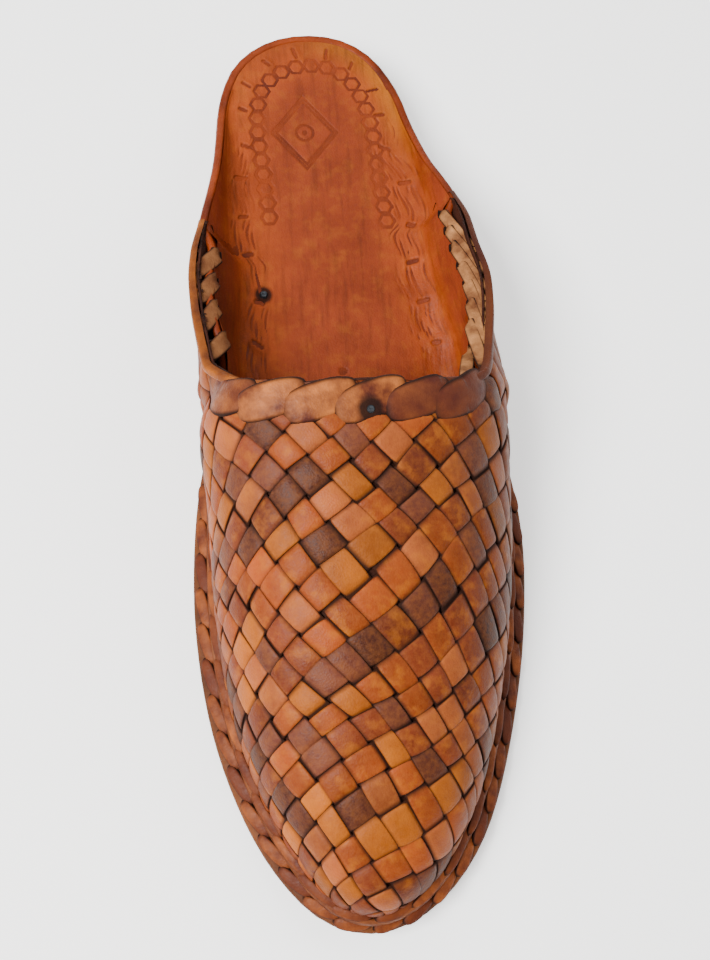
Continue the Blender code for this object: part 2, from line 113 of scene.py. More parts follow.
class EdgeRow(NamedTuple):
    """Half widths of the sole."""

    from_heel: float
    medial: float
    lateral: float


SOLE_EDGE = (
    EdgeRow(0.0, 0.0, 0.0),
    EdgeRow(1.6, 10.5, 9.8),
    EdgeRow(6.0, 18.8, 17.2),
    EdgeRow(14.0, 25.8, 23.6),
    EdgeRow(26.0, 29.6, 28.2),
    EdgeRow(42.0, 31.0, 31.3),
    EdgeRow(62.0, 30.6, 33.6),
    EdgeRow(85.0, 29.8, 36.2),
    EdgeRow(108.0, 31.4, 41.0),
    EdgeRow(128.0, 35.6, 47.0),
    EdgeRow(146.0, 39.8, 51.2),
    EdgeRow(164.0, 42.0, 52.8),
    EdgeRow(182.0, 42.6, 51.5),
    EdgeRow(200.0, 41.4, 48.6),
    EdgeRow(217.0, 38.6, 44.4),
    EdgeRow(233.0, 33.9, 39.2),
    EdgeRow(247.0, 27.8, 32.8),
    EdgeRow(258.0, 20.6, 24.6),
    EdgeRow(266.0, 12.2, 14.6),
    EdgeRow(LENGTH, 0.0, 0.0),
)


class GroundRow(NamedTuple):
    """The height of the outsole's underside above the ground."""

    from_heel: float
    underside: float


OUTSOLE_GROUND = (
    GroundRow(0.0, HEEL_LIFT),
    GroundRow(HEEL_FRONT, HEEL_LIFT),
    GroundRow(88.0, 7.3),
    GroundRow(112.0, 4.9),
    GroundRow(136.0, 2.0),
    GroundRow(154.0, 0.5),
    GroundRow(165.0, 0.0),
    GroundRow(206.0, 0.0),
    GroundRow(226.0, 0.6),
    GroundRow(246.0, 1.9),
    GroundRow(260.0, 3.3),
    GroundRow(LENGTH, 4.3),
)


class InsetRow(NamedTuple):
    """How far the foot of the upper stands in from the edge of the sole."""

    from_heel: float
    upper: float


UPPER_INSET = (
    InsetRow(0.0, 0.6),
    InsetRow(112.0, 0.8),
    InsetRow(128.0, 2.0),
    InsetRow(142.0, 4.2),
    InsetRow(158.0, 6.0),
    InsetRow(175.0, 6.5),
    InsetRow(250.0, 6.5),
    InsetRow(262.0, 5.6),
    InsetRow(LENGTH, 4.6),
)


class CollarRow(NamedTuple):
    """The height of each side's top edge, from the heel to the middle of the throat."""

    from_heel: float
    medial_high: float
    lateral_high: float


COLLAR = (
    CollarRow(20.0, 16.3, 16.3),
    CollarRow(30.0, 17.0, 17.0),
    CollarRow(40.0, 19.4, 19.4),
    CollarRow(50.0, 22.6, 22.6),
    CollarRow(60.0, 26.2, 26.2),
    CollarRow(72.0, 30.4, 30.4),
    CollarRow(84.0, 34.3, 34.3),
    CollarRow(96.0, 37.7, 37.7),
    CollarRow(108.0, 40.9, 40.9),
    CollarRow(118.0, 43.6, 43.4),
    CollarRow(127.0, 47.2, 46.8),
    CollarRow(131.0, 50.3, 49.4),
    CollarRow(134.0, 54.4, 53.0),
    CollarRow(136.5, 59.2, 57.6),
    CollarRow(THROAT, 62.0, 62.0),
)


class WallRow(NamedTuple):
    """Each side wall's top edge behind the vamp: how far out it runs, and its slope in degrees."""

    from_heel: float
    medial_out: float
    medial_slope: float
    lateral_out: float
    lateral_slope: float


WALLS = (
    WallRow(20.0, 28.3, 95.0, 26.4, 95.0),
    WallRow(30.0, 30.0, 102.0, 28.6, 102.0),
    WallRow(40.0, 31.1, 108.0, 30.8, 108.0),
    WallRow(50.0, 32.3, 112.0, 33.4, 112.0),
    WallRow(60.0, 34.2, 114.0, 37.1, 113.0),
    WallRow(72.0, 37.0, 115.0, 40.4, 109.0),
    WallRow(84.0, 39.1, 112.0, 41.4, 102.0),
    WallRow(96.0, 40.3, 103.0, 42.9, 92.0),
    WallRow(106.0, 39.9, 92.0, 42.0, 79.0),
    WallRow(116.0, 38.8, 86.0, 40.2, 70.0),
    WallRow(125.0, 37.6, 82.0, 38.2, 62.0),
    WallRow(VAMP_START, 36.4, 76.0, 35.0, 51.0),
)


class CrestRow(NamedTuple):
    """The crest of the vamp down to the toe, and the line it would follow behind the throat."""

    from_heel: float
    across: float
    height: float


CREST = (
    CrestRow(100.0, -1.5, 71.0),
    CrestRow(120.0, -2.4, 66.6),
    CrestRow(THROAT, -3.0, 62.0),
    CrestRow(155.0, -3.6, 57.8),
    CrestRow(170.0, -4.0, 53.9),
    CrestRow(186.0, -4.2, 49.5),
    CrestRow(202.0, -4.0, 44.9),
    CrestRow(217.0, -3.4, 40.4),
    CrestRow(231.0, -2.6, 35.9),
    CrestRow(243.0, -1.8, 31.6),
    CrestRow(CREST_END, -0.9, 27.6),
)


class RiseRow(NamedTuple):
    """How the walls leave the sole, as a lean in degrees, and how full their curve is."""

    from_heel: float
    medial_lean: float
    lateral_lean: float
    medial_full: float
    lateral_full: float


RISE = (
    RiseRow(20.0, 12.0, 12.0, 0.34, 0.34),
    RiseRow(60.0, 20.0, 17.0, 0.34, 0.34),
    RiseRow(90.0, 26.0, 20.0, 0.36, 0.36),
    RiseRow(106.0, 29.0, 24.0, 0.42, 0.44),
    RiseRow(118.0, 21.0, 18.0, 0.46, 0.56),
    RiseRow(129.0, 17.0, 11.0, 0.64, 0.63),
    RiseRow(THROAT, 19.0, 9.0, 0.78, 0.66),
    RiseRow(158.0, 14.5, 7.0, 0.69, 0.60),
    RiseRow(200.0, 9.0, 6.0, 0.60, 0.57),
    RiseRow(240.0, 8.0, 8.0, 0.58, 0.57),
    RiseRow(LENGTH, 8.0, 8.0, 0.56, 0.56),
)


def smooth(rows: tuple, column: str, at: float | np.ndarray) -> float | np.ndarray:
    """Reads a table's column by a curve that never overshoots its rows.

    Args:
        rows: the table, with a from_heel column.
        column: the column to read.
        at: one or more distances from the heel.

    Returns:
        The column's value at each distance.
    """
    x = np.array([row.from_heel for row in rows])
    y = np.array([getattr(row, column) for row in rows])
    run = np.diff(x)
    rate = np.diff(y) / run
    slope = np.concatenate([rate[:1], np.zeros(len(rate) - 1), rate[-1:]])
    for i in np.flatnonzero(rate[:-1] * rate[1:] > 0):
        before, after = 2 * run[i + 1] + run[i], run[i + 1] + 2 * run[i]
        slope[i + 1] = (before + after) / (before / rate[i] + after / rate[i + 1])
    at = np.clip(at, x[0], x[-1])
    i = np.clip(np.searchsorted(x, at) - 1, 0, len(run) - 1)
    t = (at - x[i]) / run[i]
    rise = y[i] * (1 + 2 * t) * (1 - t) ** 2 + y[i + 1] * t * t * (3 - 2 * t)
    return rise + run[i] * t * (1 - t) * (slope[i] * (1 - t) - slope[i + 1] * t)


def ramp(value: float | np.ndarray, start: float, end: float) -> float | np.ndarray:
    """0 before start, 1 after end, and an easy curve between."""
    t = np.clip((value - start) / (end - start), 0.0, 1.0)
    return t * t * (3 - 2 * t)


def unit(vectors: np.ndarray) -> np.ndarray:
    """The vectors at length one."""
    return vectors / np.maximum(np.linalg.norm(vectors, axis=-1, keepdims=True), 1e-9)


def spans(points: np.ndarray) -> np.ndarray:
    """The distance from each point of a line to the next."""
    return np.linalg.norm(np.diff(points, axis=0), axis=1)


def runs_of(points: np.ndarray) -> np.ndarray:
    """The distance along a line from its first point to each of its points."""
    return np.concatenate([[0.0], np.cumsum(spans(points))])


def read_line(wanted: float | np.ndarray, runs: np.ndarray, points: np.ndarray) -> np.ndarray:
    """A line's points read at the wanted runs, each coordinate between its neighbours."""
    return np.stack([np.interp(wanted, runs, column) for column in points.T], -1)


# ---------------------------------------------------------------------------------------------------
# The shoe's form
# ---------------------------------------------------------------------------------------------------


class SoleForm:
    """The sole's outline and heights, which every other piece is placed from."""

    STEPS = 24  # points of the outline between two rows of SOLE_EDGE
    SPARSE = 6  # every so many of them are enough to measure an inset from

    def __init__(self) -> None:
        """Works the outline out once, as a smooth closed curve through its rows."""
        lateral = [(row.from_heel, row.lateral) for row in reversed(SOLE_EDGE)]
        medial = [(row.from_heel, -row.medial) for row in SOLE_EDGE[1:-1]]
        loop = self._closed_curve(np.array(lateral + medial), self.STEPS)
        half = (len(SOLE_EDGE) - 1) * self.STEPS
        loop = np.vstack([loop, loop[:1]])
        ahead = np.gradient(loop, axis=0)
        ahead[0] = ahead[-1] = (0.0, 1.0)
        ahead[half] = (0.0, -1.0)
        ahead = unit(ahead)
        normals = np.stack([ahead[:, 1], -ahead[:, 0]], axis=1)
        self.edges = {}
        for side, points, normal in (
            (Side.LATERAL, loop[: half + 1], normals[: half + 1]),
            (Side.MEDIAL, loop[half:][::-1], normals[half:][::-1]),
        ):
            self.edges[side] = (runs_of(points), points, normal)

    @staticmethod
    def _closed_curve(points: np.ndarray, steps: int) -> np.ndarray:
        """The smooth closed curve through some points.

        Args:
            points: the points, in order round it.
            steps: how many points to put in each span.

        Returns:
            Points along the curve.
        """
        span = np.linalg.norm(np.roll(points, -1, 0) - points, axis=1)
        before = np.roll(span, 1)
        count = len(points)
        equations = np.diag(2 / before + 2 / span)
        rows = np.arange(count)
        equations[rows, (rows + 1) % count] += 1 / span
        equations[rows, rows - 1] += 1 / before
        ahead = (np.roll(points, -1, 0) - points) / span[:, None] ** 2
        tangents = np.linalg.solve(equations, 3 * (ahead + np.roll(ahead, 1, 0)))
        made = []
        for i in range(count):
            j = (i + 1) % count
            for t in np.arange(steps) / steps:
                held = points[i] * (1 + 2 * t) * (1 - t) ** 2 + points[j] * t * t * (3 - 2 * t)
                turn = tangents[i] * (1 - t) - tangents[j] * t
                made.append(held + span[i] * t * (1 - t) * turn)
        return np.array(made)

    def length(self, side: Side) -> float:
        """The length of one side's edge, from the toe to the heel."""
        return float(self.edges[side][0][-1])

    def run_at(self, side: Side, from_heel: float | np.ndarray) -> float | np.ndarray:
        """The distance along one side's edge from the toe to where it is so far from the heel."""
        runs, points, _ = self.edges[side]
        return np.interp(-np.asarray(from_heel), -points[:, 0], runs)

    def edge_point(self, side: Side, run: np.ndarray, inset: np.ndarray) -> np.ndarray:
        """Places on the sole's plan, moved in from its edge.

        Args:
            side: which side of the foot.
            run: distances along that side's edge from the toe.
            inset: how far each place stands in from the edge.

        Returns:
            One (from heel, across) pair for each run.
        """
        runs, points, normals = self.edges[side]
        run = np.asarray(run, float)
        normal = unit(read_line(run, runs, normals))
        return read_line(run, runs, points) - np.asarray(inset)[..., None] * normal

    def inset_of(self, from_heel: np.ndarray, across: np.ndarray) -> np.ndarray:
        """How far places on the sole's plan stand in from the nearest edge.

        Args:
            from_heel: their distances from the heel.
            across: their distances from the middle.

        Returns:
            One distance for each place.
        """
        places = np.stack([from_heel, across], -1)
        found = np.full(len(places), np.inf)
        for side in Side:
            for point in self.edges[side][1][:: self.SPARSE]:
                found = np.minimum(found, np.linalg.norm(places - point, axis=1))
        return found

    @staticmethod
    def top(from_heel: float | np.ndarray) -> float | np.ndarray:
        """The height of the outsole's top face."""
        return smooth(OUTSOLE_GROUND, "underside", from_heel) + OUTSOLE_THICK

    @classmethod
    def floor(cls, from_heel: float | np.ndarray) -> float | np.ndarray:
        """The height of the footbed's top face."""
        return cls.top(from_heel) + GAP + FOOTBED_THICK


class UpperForm:
    """The outer face of the upper, as sections from the sole to the crest or the collar."""

    ARCH_STEPS = 200

    def __init__(self, sole: SoleForm) -> None:
        """Keeps the sole that the sections stand on."""
        self.sole = sole

    @staticmethod
    def wall_curve(
        side: Side, from_heel: float, inward: float, height: float, slope: float, shares: np.ndarray
    ) -> np.ndarray:
        """The rise of a wall.

        Args:
            side: which side of the foot.
            from_heel: where the section stands.
            inward: how far in its top is from its foot.
            height: how far its top is above its foot.
            slope: the slope it arrives at, in degrees: 0 runs level inwards, 90 straight up.
            shares: shares of the way from foot to top.

        Returns:
            One (inward, up) pair for each share.
        """
        lean = math.radians(smooth(RISE, side.column("lean"), from_heel))
        full = smooth(RISE, side.column("full"), from_heel)
        angle = math.radians(slope)
        arrive = np.array([math.cos(angle), math.sin(angle)])
        reach = full * (abs(inward * arrive[0]) + abs(height * arrive[1]))
        top = np.array([inward, height])
        leave = full * height * np.array([-math.tan(lean), 1.0])
        before = top - reach * arrive
        t = np.asarray(shares)[:, None]
        return leave * 3 * t * (1 - t) ** 2 + before * 3 * t * t * (1 - t) + top * t**3

    def foot(self, side: Side, run: float) -> np.ndarray:
        """The foot of the outer face.

        Args:
            side: which side of the foot.
            run: the distance along that side's edge from the toe.

        Returns:
            (from heel, across, height) of the place.
        """
        from_heel = self.sole.edge_point(side, run, 0.0)[0]
        foot = self.sole.edge_point(side, run, smooth(UPPER_INSET, "upper", from_heel))
        return np.array([foot[0], foot[1], self.sole.top(foot[0]) + GAP])

    def side_section(self, side: Side, from_heel: float, points: int) -> np.ndarray:
        """The outer face at one crosswise section behind the throat.

        Args:
            side: which side of the foot.
            from_heel: where the section stands.
            points: how many points it has.

        Returns:
            Places from its foot to the collar.
        """
        foot = self.foot(side, float(self.sole.run_at(side, from_heel)))
        rise = smooth(COLLAR, side.column("high"), from_heel) - foot[2]
        shares = np.linspace(0, 1, points)
        inward = side.value * foot[1] - smooth(WALLS, side.column("out"), from_heel)
        slope = smooth(WALLS, side.column("slope"), from_heel)
        upright = self.wall_curve(side, from_heel, inward, rise, slope, shares)
        across = side.value * (foot[1] - smooth(CREST, "across", from_heel))
        crest = smooth(CREST, "height", from_heel) - foot[2]
        steps = np.linspace(0, 1, self.ARCH_STEPS)
        whole = self.wall_curve(side, from_heel, across, crest, 0.0, steps)
        end = np.interp(rise, whole[:, 1], steps)
        arch = self.wall_curve(side, from_heel, across, crest, 0.0, shares * end)
        arched = ramp(from_heel, VAMP_START - VAMP_BLEND, VAMP_START)
        curve = upright * (1 - arched) + arch * arched
        ahead = (from_heel - foot[0]) * shares
        return foot + np.stack([ahead, -side.value * curve[:, 0], curve[:, 1]], -1)

    def vamp_section(self, side: Side, share: float, points: int) -> np.ndarray:
        """The vamp's outer face at one section.

        Args:
            side: which side of the foot.
            share: how far the section is from the throat to the toe, as a share.
            points: how many points it has.

        Returns:
            Places from its foot to the crest.
        """
        foot = self.foot(side, float(self.sole.run_at(side, THROAT)) * (1 - share))
        from_heel = THROAT + (CREST_END - THROAT) * (1 - (1 - share) ** CREST_LEAD)
        high = smooth(CREST, "height", from_heel)
        crest = np.array([from_heel, smooth(CREST, "across", from_heel), high])
        inward = np.linalg.norm((crest - foot)[:2])
        along = (crest - foot)[:2] / inward
        ahead = min(from_heel + 1, CREST_END)
        behind = ahead - 2
        fall = (smooth(CREST, "height", ahead) - smooth(CREST, "height", behind)) / 2
        slope = math.degrees(math.atan(fall * along[0])) * ramp(share, 0.0, CREST_EASE)
        curve = self.wall_curve(side, foot[0], inward, crest[2] - foot[2], slope, np.linspace(0, 1, points))
        return foot + np.stack([along[0] * curve[:, 0], along[1] * curve[:, 0], curve[:, 1]], -1)


@dataclass
class UpperMap:
    """The upper's outer face unrolled flat, so that strips can be laid out on it.

    A place on it is (girth, ahead): the distance round the foot from the crest, towards the outer
    side, and the distance along the crest from the throat towards the toe.
    """

    form: UpperForm
    reach: float = 104.0  # girths on either side of the crest
    step: float = 0.5  # between girths
    back: float = -82.0  # the furthest station behind the throat
    stations: np.ndarray = field(init=False)
    grid: np.ndarray = field(init=False)
    normals: np.ndarray = field(init=False)
    ahead_end: float = field(init=False)
    foot_girth: dict[Side, list[float]] = field(init=False)
    collar_girth: dict[Side, list[float]] = field(init=False)

    SECTIONS = 110
    POINTS = 90
    CROWDED = 1.2  # a power above 1 sets the sections closer towards the toe
    TAIL = 4  # points that give the direction past a section's end
    MERGED = 1e-6  # points this close are one
    SOFTENED = ((0, 2), (1, 4))  # each axis, and the steps either way that its normals are evened over
    INSIDE = 1.001  # keeps a reading just short of the last point

    def __post_init__(self) -> None:
        """Slices the outer face crosswise every millimetre along the crest."""
        vamp = {side: self._vamp_rows(side) for side in Side}
        crest = self._centre_line(vamp)
        runs = runs_of(crest)
        self.ahead_end = float(runs[-1])
        stations = np.arange(self.back, self.ahead_end, 1.0)
        girths = np.arange(-self.reach, self.reach + self.step / 2, self.step)
        self.foot_girth = {side: [] for side in Side}
        self.collar_girth = {side: [] for side in Side}
        front = THROAT + BESIDE_THROAT
        throat_girth = {side: self._length(self._slice(vamp, side, front)) for side in Side}
        rows = []
        for ahead in stations:
            row = np.zeros((len(girths), 3))
            for side in Side:
                if ahead >= 0:
                    at = float(np.interp(ahead, runs, crest[:, 0]))
                    section = self._slice(vamp, side, max(at, front))
                    whole = self._length(section)
                    start = 0.0
                else:
                    at = min(THROAT + ahead / CREST_SLANT, THROAT - BESIDE_THROAT)
                    section = self.form.side_section(side, at, self.POINTS)[::-1]
                    whole = throat_girth[side]
                    start = whole - self._length(section)
                self.foot_girth[side].append(whole)
                self.collar_girth[side].append(start)
                mask = girths * side.value >= 0
                row[mask] = self._resample(section, start, np.abs(girths[mask]))
            rows.append(row)
        self.grid = np.array(rows)
        self.stations = stations
        along = np.gradient(self.grid, axis=0)
        around = np.gradient(self.grid, axis=1)
        normals = unit(np.cross(along, around))
        if normals[len(stations) // 2, len(girths) // 2, 2] < 0:
            normals = -normals
        self.normals = self._soften(normals)

    def _vamp_rows(self, side: Side) -> np.ndarray:
        """The vamp's sections on one side, each from its foot to the crest."""
        shares = 1 - (1 - np.linspace(0, 1, self.SECTIONS)) ** self.CROWDED
        return np.array([self.form.vamp_section(side, share, self.POINTS) for share in shares])

    @staticmethod
    def _centre_line(vamp: dict[Side, np.ndarray]) -> np.ndarray:
        """The middle of the vamp.

        Args:
            vamp: each side's sections.

        Returns:
            The crest from the throat to the toe, and on down the front of the toe.
        """
        rows = vamp[Side.LATERAL]
        down = rows[-1][::-1]
        furthest = int(np.argmax(down[:, 0]))
        return np.vstack([rows[:, -1], down[1:furthest]])

    @staticmethod
    def _slice(vamp: dict[Side, np.ndarray], side: Side, at: float) -> np.ndarray:
        """One side's vamp cut crosswise.

        Args:
            vamp: each side's sections.
            side: which side of the foot.
            at: the cut's distance from the heel.

        Returns:
            Places from the crest to the foot.
        """
        rows = vamp[side]
        found = []
        for column in range(rows.shape[1]):
            line = rows[:, column]
            ahead = np.maximum.accumulate(line[:, 0])
            if ahead[-1] >= at:
                found.append(read_line(at, ahead, line))
        last = rows[-1]
        furthest = int(np.argmax(last[:, 0]))
        centre = last[furthest:][::-1]
        if at > centre[0, 0]:
            found.append(read_line(at, centre[:, 0], centre))
        return np.array(found)[::-1]

    @staticmethod
    def _length(points: np.ndarray) -> float:
        """The length of a line of points."""
        return float(spans(points).sum())

    @classmethod
    def _resample(cls, points: np.ndarray, start: float, wanted: np.ndarray) -> np.ndarray:
        """Places along a line of points, and straight on past both of its ends.

        Args:
            points: the line.
            start: the run at its first point.
            wanted: the runs to find places for.

        Returns:
            One place for each run.
        """
        keep = np.concatenate([[True], spans(points) > cls.MERGED])
        points = points[keep]
        runs = runs_of(points) + start
        made = read_line(wanted, runs, points)
        tail = min(cls.TAIL, len(points) - 1)
        after = unit(points[-1] - points[-1 - tail])
        before = unit(points[0] - points[tail])
        made += np.maximum(wanted - runs[-1], 0.0)[:, None] * after
        if start > 0:
            made += np.maximum(start - wanted, 0.0)[:, None] * before
        return made

    @classmethod
    def _soften(cls, normals: np.ndarray) -> np.ndarray:
        """Evens the normals out over a few millimetres.

        Args:
            normals: one for each point of the grid.

        Returns:
            The evened normals.
        """
        for axis, width in cls.SOFTENED:
            size = normals.shape[axis]
            for _ in range(2):
                total = np.zeros_like(normals)
                for shift in range(-width, width + 1):
                    index = np.clip(np.arange(size) + shift, 0, size - 1)
                    total += np.take(normals, index, axis=axis)
                normals = unit(total)
        return normals

    def _read(self, grid: np.ndarray, girth: np.ndarray, ahead: np.ndarray) -> np.ndarray:
        """Reads a grid between its points.

        Args:
            grid: the grid.
            girth: distances round the foot.
            ahead: distances towards the toe.

        Returns:
            One reading for each place.
        """
        column = np.clip((girth + self.reach) / self.step, 0, grid.shape[1] - self.INSIDE)
        row = np.clip(ahead - self.back, 0, grid.shape[0] - self.INSIDE)
        i, j = row.astype(int), column.astype(int)
        u, v = (row - i)[:, None], (column - j)[:, None]
        near = grid[i, j] * (1 - v) + grid[i, j + 1] * v
        far = grid[i + 1, j] * (1 - v) + grid[i + 1, j + 1] * v
        return near * (1 - u) + far * u

    def place(self, girth: np.ndarray, ahead: np.ndarray, above: np.ndarray | float) -> np.ndarray:
        """Places above or below the outer face.

        Args:
            girth: distances round the foot.
            ahead: distances towards the toe.
            above: how far above the outer face.

        Returns:
            One (from heel, across, height) for each place.
        """
        girth, ahead = np.asarray(girth, float), np.asarray(ahead, float)
        above = np.broadcast_to(np.asarray(above, float), girth.shape)
        return self._read(self.grid, girth, ahead) + self.outwards(girth, ahead) * above[:, None]

    def outwards(self, girth: np.ndarray, ahead: np.ndarray) -> np.ndarray:
        """The outward normal at each place."""
        return unit(self._read(self.normals, np.asarray(girth, float), np.asarray(ahead, float)))

    def edge_girth(
        self, which: dict[Side, list[float]], girth: np.ndarray, ahead: np.ndarray
    ) -> np.ndarray:
        """The foot's or the collar's girth on the side that each place is on.

        Args:
            which: foot_girth or collar_girth.
            girth: distances round the foot.
            ahead: distances towards the toe.

        Returns:
            One girth for each place.
        """
        lateral = np.interp(ahead, self.stations, which[Side.LATERAL])
        medial = np.interp(ahead, self.stations, which[Side.MEDIAL])
        return np.where(girth > 0, lateral, medial)


# ---------------------------------------------------------------------------------------------------
# Making pieces
# ---------------------------------------------------------------------------------------------------


def placed(points: np.ndarray) -> np.ndarray:
    """Places on the shoe, in millimetres, as points of the frame, in metres."""
    return np.stack([points[:, 1], HEEL_BACK - points[:, 0], points[:, 2]], -1) * MM


class Bend(NamedTuple):
    """Where a grid's points go: places on the shoe, which of them to keep, and their marks."""

    places: np.ndarray
    keep: np.ndarray
    hollow: np.ndarray
    dye: np.ndarray


Bender = Callable[[np.ndarray, np.ndarray], Bend]  # from shares along and across, both 0 to 1


def plain_bend(places: np.ndarray, hollow: np.ndarray | float = 0.0, tone: float = 0.5) -> Bend:
    """A bend that keeps every point.

    Args:
        places: where the points go.
        hollow: how much painted shade, and any stain round a tack, darkens them, 0 to 1.
        tone: the one shade of them all.

    Returns:
        The bend.
    """
    count = len(places)
    dye = np.tile([tone, tone, tone, 1.0], (count, 1))
    return Bend(places, np.ones(count, bool), np.broadcast_to(hollow, (count,)), dye)


class Piece:
    """One object of the shoe, gathered from grids that are each bent into their place."""

    STAIN_CORE = 0.35  # the share of a stain's reach that is fully dark
    STAIN = 0.85

    def __init__(self, name: str) -> None:
        """Starts with nothing in it.

        Args:
            name: the object's name.
        """
        self.name = name
        self.mesh = bmesh.new()
        # A mark of how much painted shade, and any stain round a tack, darkens each point.
        self.hollow = self.mesh.verts.layers.float.new("hollow")
        self.dye = self.mesh.verts.layers.float_color.new("dye")

    def add_grid(self, along: int, cross: int, bend: Bender) -> None:
        """Adds a grid and bends it.

        Args:
            along: how many faces it has along.
            cross: how many faces it has across.
            bend: where its points go.
        """
        made = bmesh.ops.create_grid(self.mesh, x_segments=along, y_segments=cross, size=1.0)
        verts = made["verts"]
        flat = np.array([vert.co[:2] for vert in verts])
        bent = bend((flat[:, 0] + 1) / 2, (flat[:, 1] + 1) / 2)
        for vert, point, hollow, dye in zip(verts, placed(bent.places), bent.hollow, bent.dye):
            vert.co = point
            vert[self.hollow] = hollow
            vert[self.dye] = dye
        if not bent.keep.all():
            kept = {vert for vert, keep in zip(verts, bent.keep) if keep}
            faces = {face for vert in verts for face in vert.link_faces}
            outside = [face for face in faces if not any(vert in kept for vert in face.verts)]
            bmesh.ops.delete(self.mesh, geom=outside, context="FACES")

    def stain(self, node: str, reach: float) -> None:
        """Darkens the piece around an iron tack, as iron does to damp leather.

        Args:
            node: the tack's node.
            reach: how far from its middle the stain goes.
        """
        low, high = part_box(node)
        centre = (low + high) / 2
        for vert in self.mesh.verts:
            near = 1 - ramp((vert.co - centre).length / MM, reach * self.STAIN_CORE, reach)
            vert[self.hollow] = min(1.0, vert[self.hollow] + self.STAIN * float(near))

    def finished(self, slot: str, material: bpy.types.Material, *nodes: str) -> bpy.types.Object:
        """Makes the object, and gives it its finish and its place in the frame.

        Args:
            slot: the record's material slot.
            material: the piece's finish.
            nodes: the frame's nodes that it stands for.

        Returns:
            The finished object.
        """
        data = bpy.data.meshes.new(self.name)
        self.mesh.to_mesh(data)
        self.mesh.free()
        data.shade_smooth()
        return dress(bpy.data.objects.new(self.name, data), slot, material, *nodes)


def dress(
    made: bpy.types.Object, slot: str, material: bpy.types.Material, *nodes: str
) -> bpy.types.Object:
    """Links an object, gives it its finish, and ties it to the frame.

    Args:
        made: the object.
        slot: the record's material slot; not used.
        material: its finish.
        nodes: the frame's nodes that it stands for.

    Returns:
        The same object.
    """
    made.data.materials.clear()
    made.data.materials.append(material)
    bpy.context.scene.collection.objects.link(made)
    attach(made, "root")
    if nodes:
        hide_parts(*nodes)
    triangles = sum(len(face.vertices) - 2 for face in made.data.polygons)
    log.info("%s: %d triangles", made.name, triangles)
    return made


def profile(share: np.ndarray, *columns: tuple[float, ...]) -> list[np.ndarray]:
    """The columns of a strip's cross-section, read at shares of the way across it."""
    return [np.interp(share * (len(column) - 1), range(len(column)), column) for column in columns]


@dataclass
class Ribbon:
    """A flat strip of leather with rounded edges, laid along a line."""

    width: float
    thick: float
    crown: float = 0.25  # how far its middle stands above its edges
    taper: float = 0.0  # how much it narrows and thins to its ends, as a share
    along: int = 24  # faces along it
    outline: float = 0.5  # how dark its cut edges are painted: painted shade
    rim: float = 1.0  # how dark its sides are painted where they turn down: painted shade

    ROUND = 2.6  # how full its tapered ends are, as a power
    LINE = 9  # how thin the dark line along its edges is, as a power
    ACROSS = (-0.97, -1.0, -0.94, -0.78, -0.5, -0.2, 0.2, 0.5, 0.78, 0.94, 1.0, 0.97)
    LEVEL = (-1.0, -0.45, -0.1, 0.0, 0.0, 0.0, 0.0, 0.0, 0.0, -0.1, -0.45, -1.0)

    def lay(self, piece: Piece, line: np.ndarray, out: np.ndarray, tone: float = 0.5) -> None:
        """Adds the strip to a piece.

        Args:
            piece: the piece it becomes part of.
            line: places along the middle of its top face.
            out: the direction its top face looks at each of them.
            tone: the strip's own shade, 0 dark to 1 light.
        """
        runs = runs_of(line)
        runs /= runs[-1]

        def bend(u: np.ndarray, v: np.ndarray) -> Bend:
            """Bends the grid along the line.

            Args:
                u: shares along it.
                v: shares across it.

            Returns:
                The strip's points.
            """
            ahead = read_line(u + 0.01, runs, line) - read_line(u - 0.01, runs, line)
            normal = unit(read_line(u, runs, out))
            side = unit(np.cross(ahead, normal))
            across, level = profile(v, self.ACROSS, self.LEVEL)
            away = np.abs(2 * u - 1)
            ends = np.sqrt(np.clip(1 - away**self.ROUND, 0, 1)) if self.taper else np.ones_like(u)
            narrow = 1 - self.taper * (1 - ends)
            lift = level * self.thick + self.crown * (1 - across**2) - (1 - ends) * self.thick * self.taper
            half = (across * narrow * self.width / 2)[:, None]
            places = read_line(u, runs, line) + side * half + normal * lift[:, None]
            # Painted shade down its sides, where they turn under, and along its cut edges and tapered ends.
            edge = np.abs(across) ** self.LINE + (away**self.LINE if self.taper else 0.0)
            dark = np.clip(self.rim * np.clip(-level, 0, 1) + self.outline * edge, 0, 1)
            return plain_bend(places, dark, tone)

        piece.add_grid(self.along, len(self.ACROSS) - 1, bend)


# ---------------------------------------------------------------------------------------------------
# Finishes
# ---------------------------------------------------------------------------------------------------


Feed = bpy.types.NodeSocket | float | tuple[float, ...]  # what a socket takes: another one, or a value


def colour(code: str) -> Colour:
    """A colour in the linear values that a shader takes.

    Args:
        code: the colour as it is written for the web.

    Returns:
        Red, green, blue and an alpha of one.
    """
    parts = [int(code[i : i + 2], 16) / 255 for i in (1, 3, 5)]
    linear = [part / 12.92 if part <= 0.04045 else ((part + 0.055) / 1.055) ** 2.4 for part in parts]
    return (*linear, 1.0)


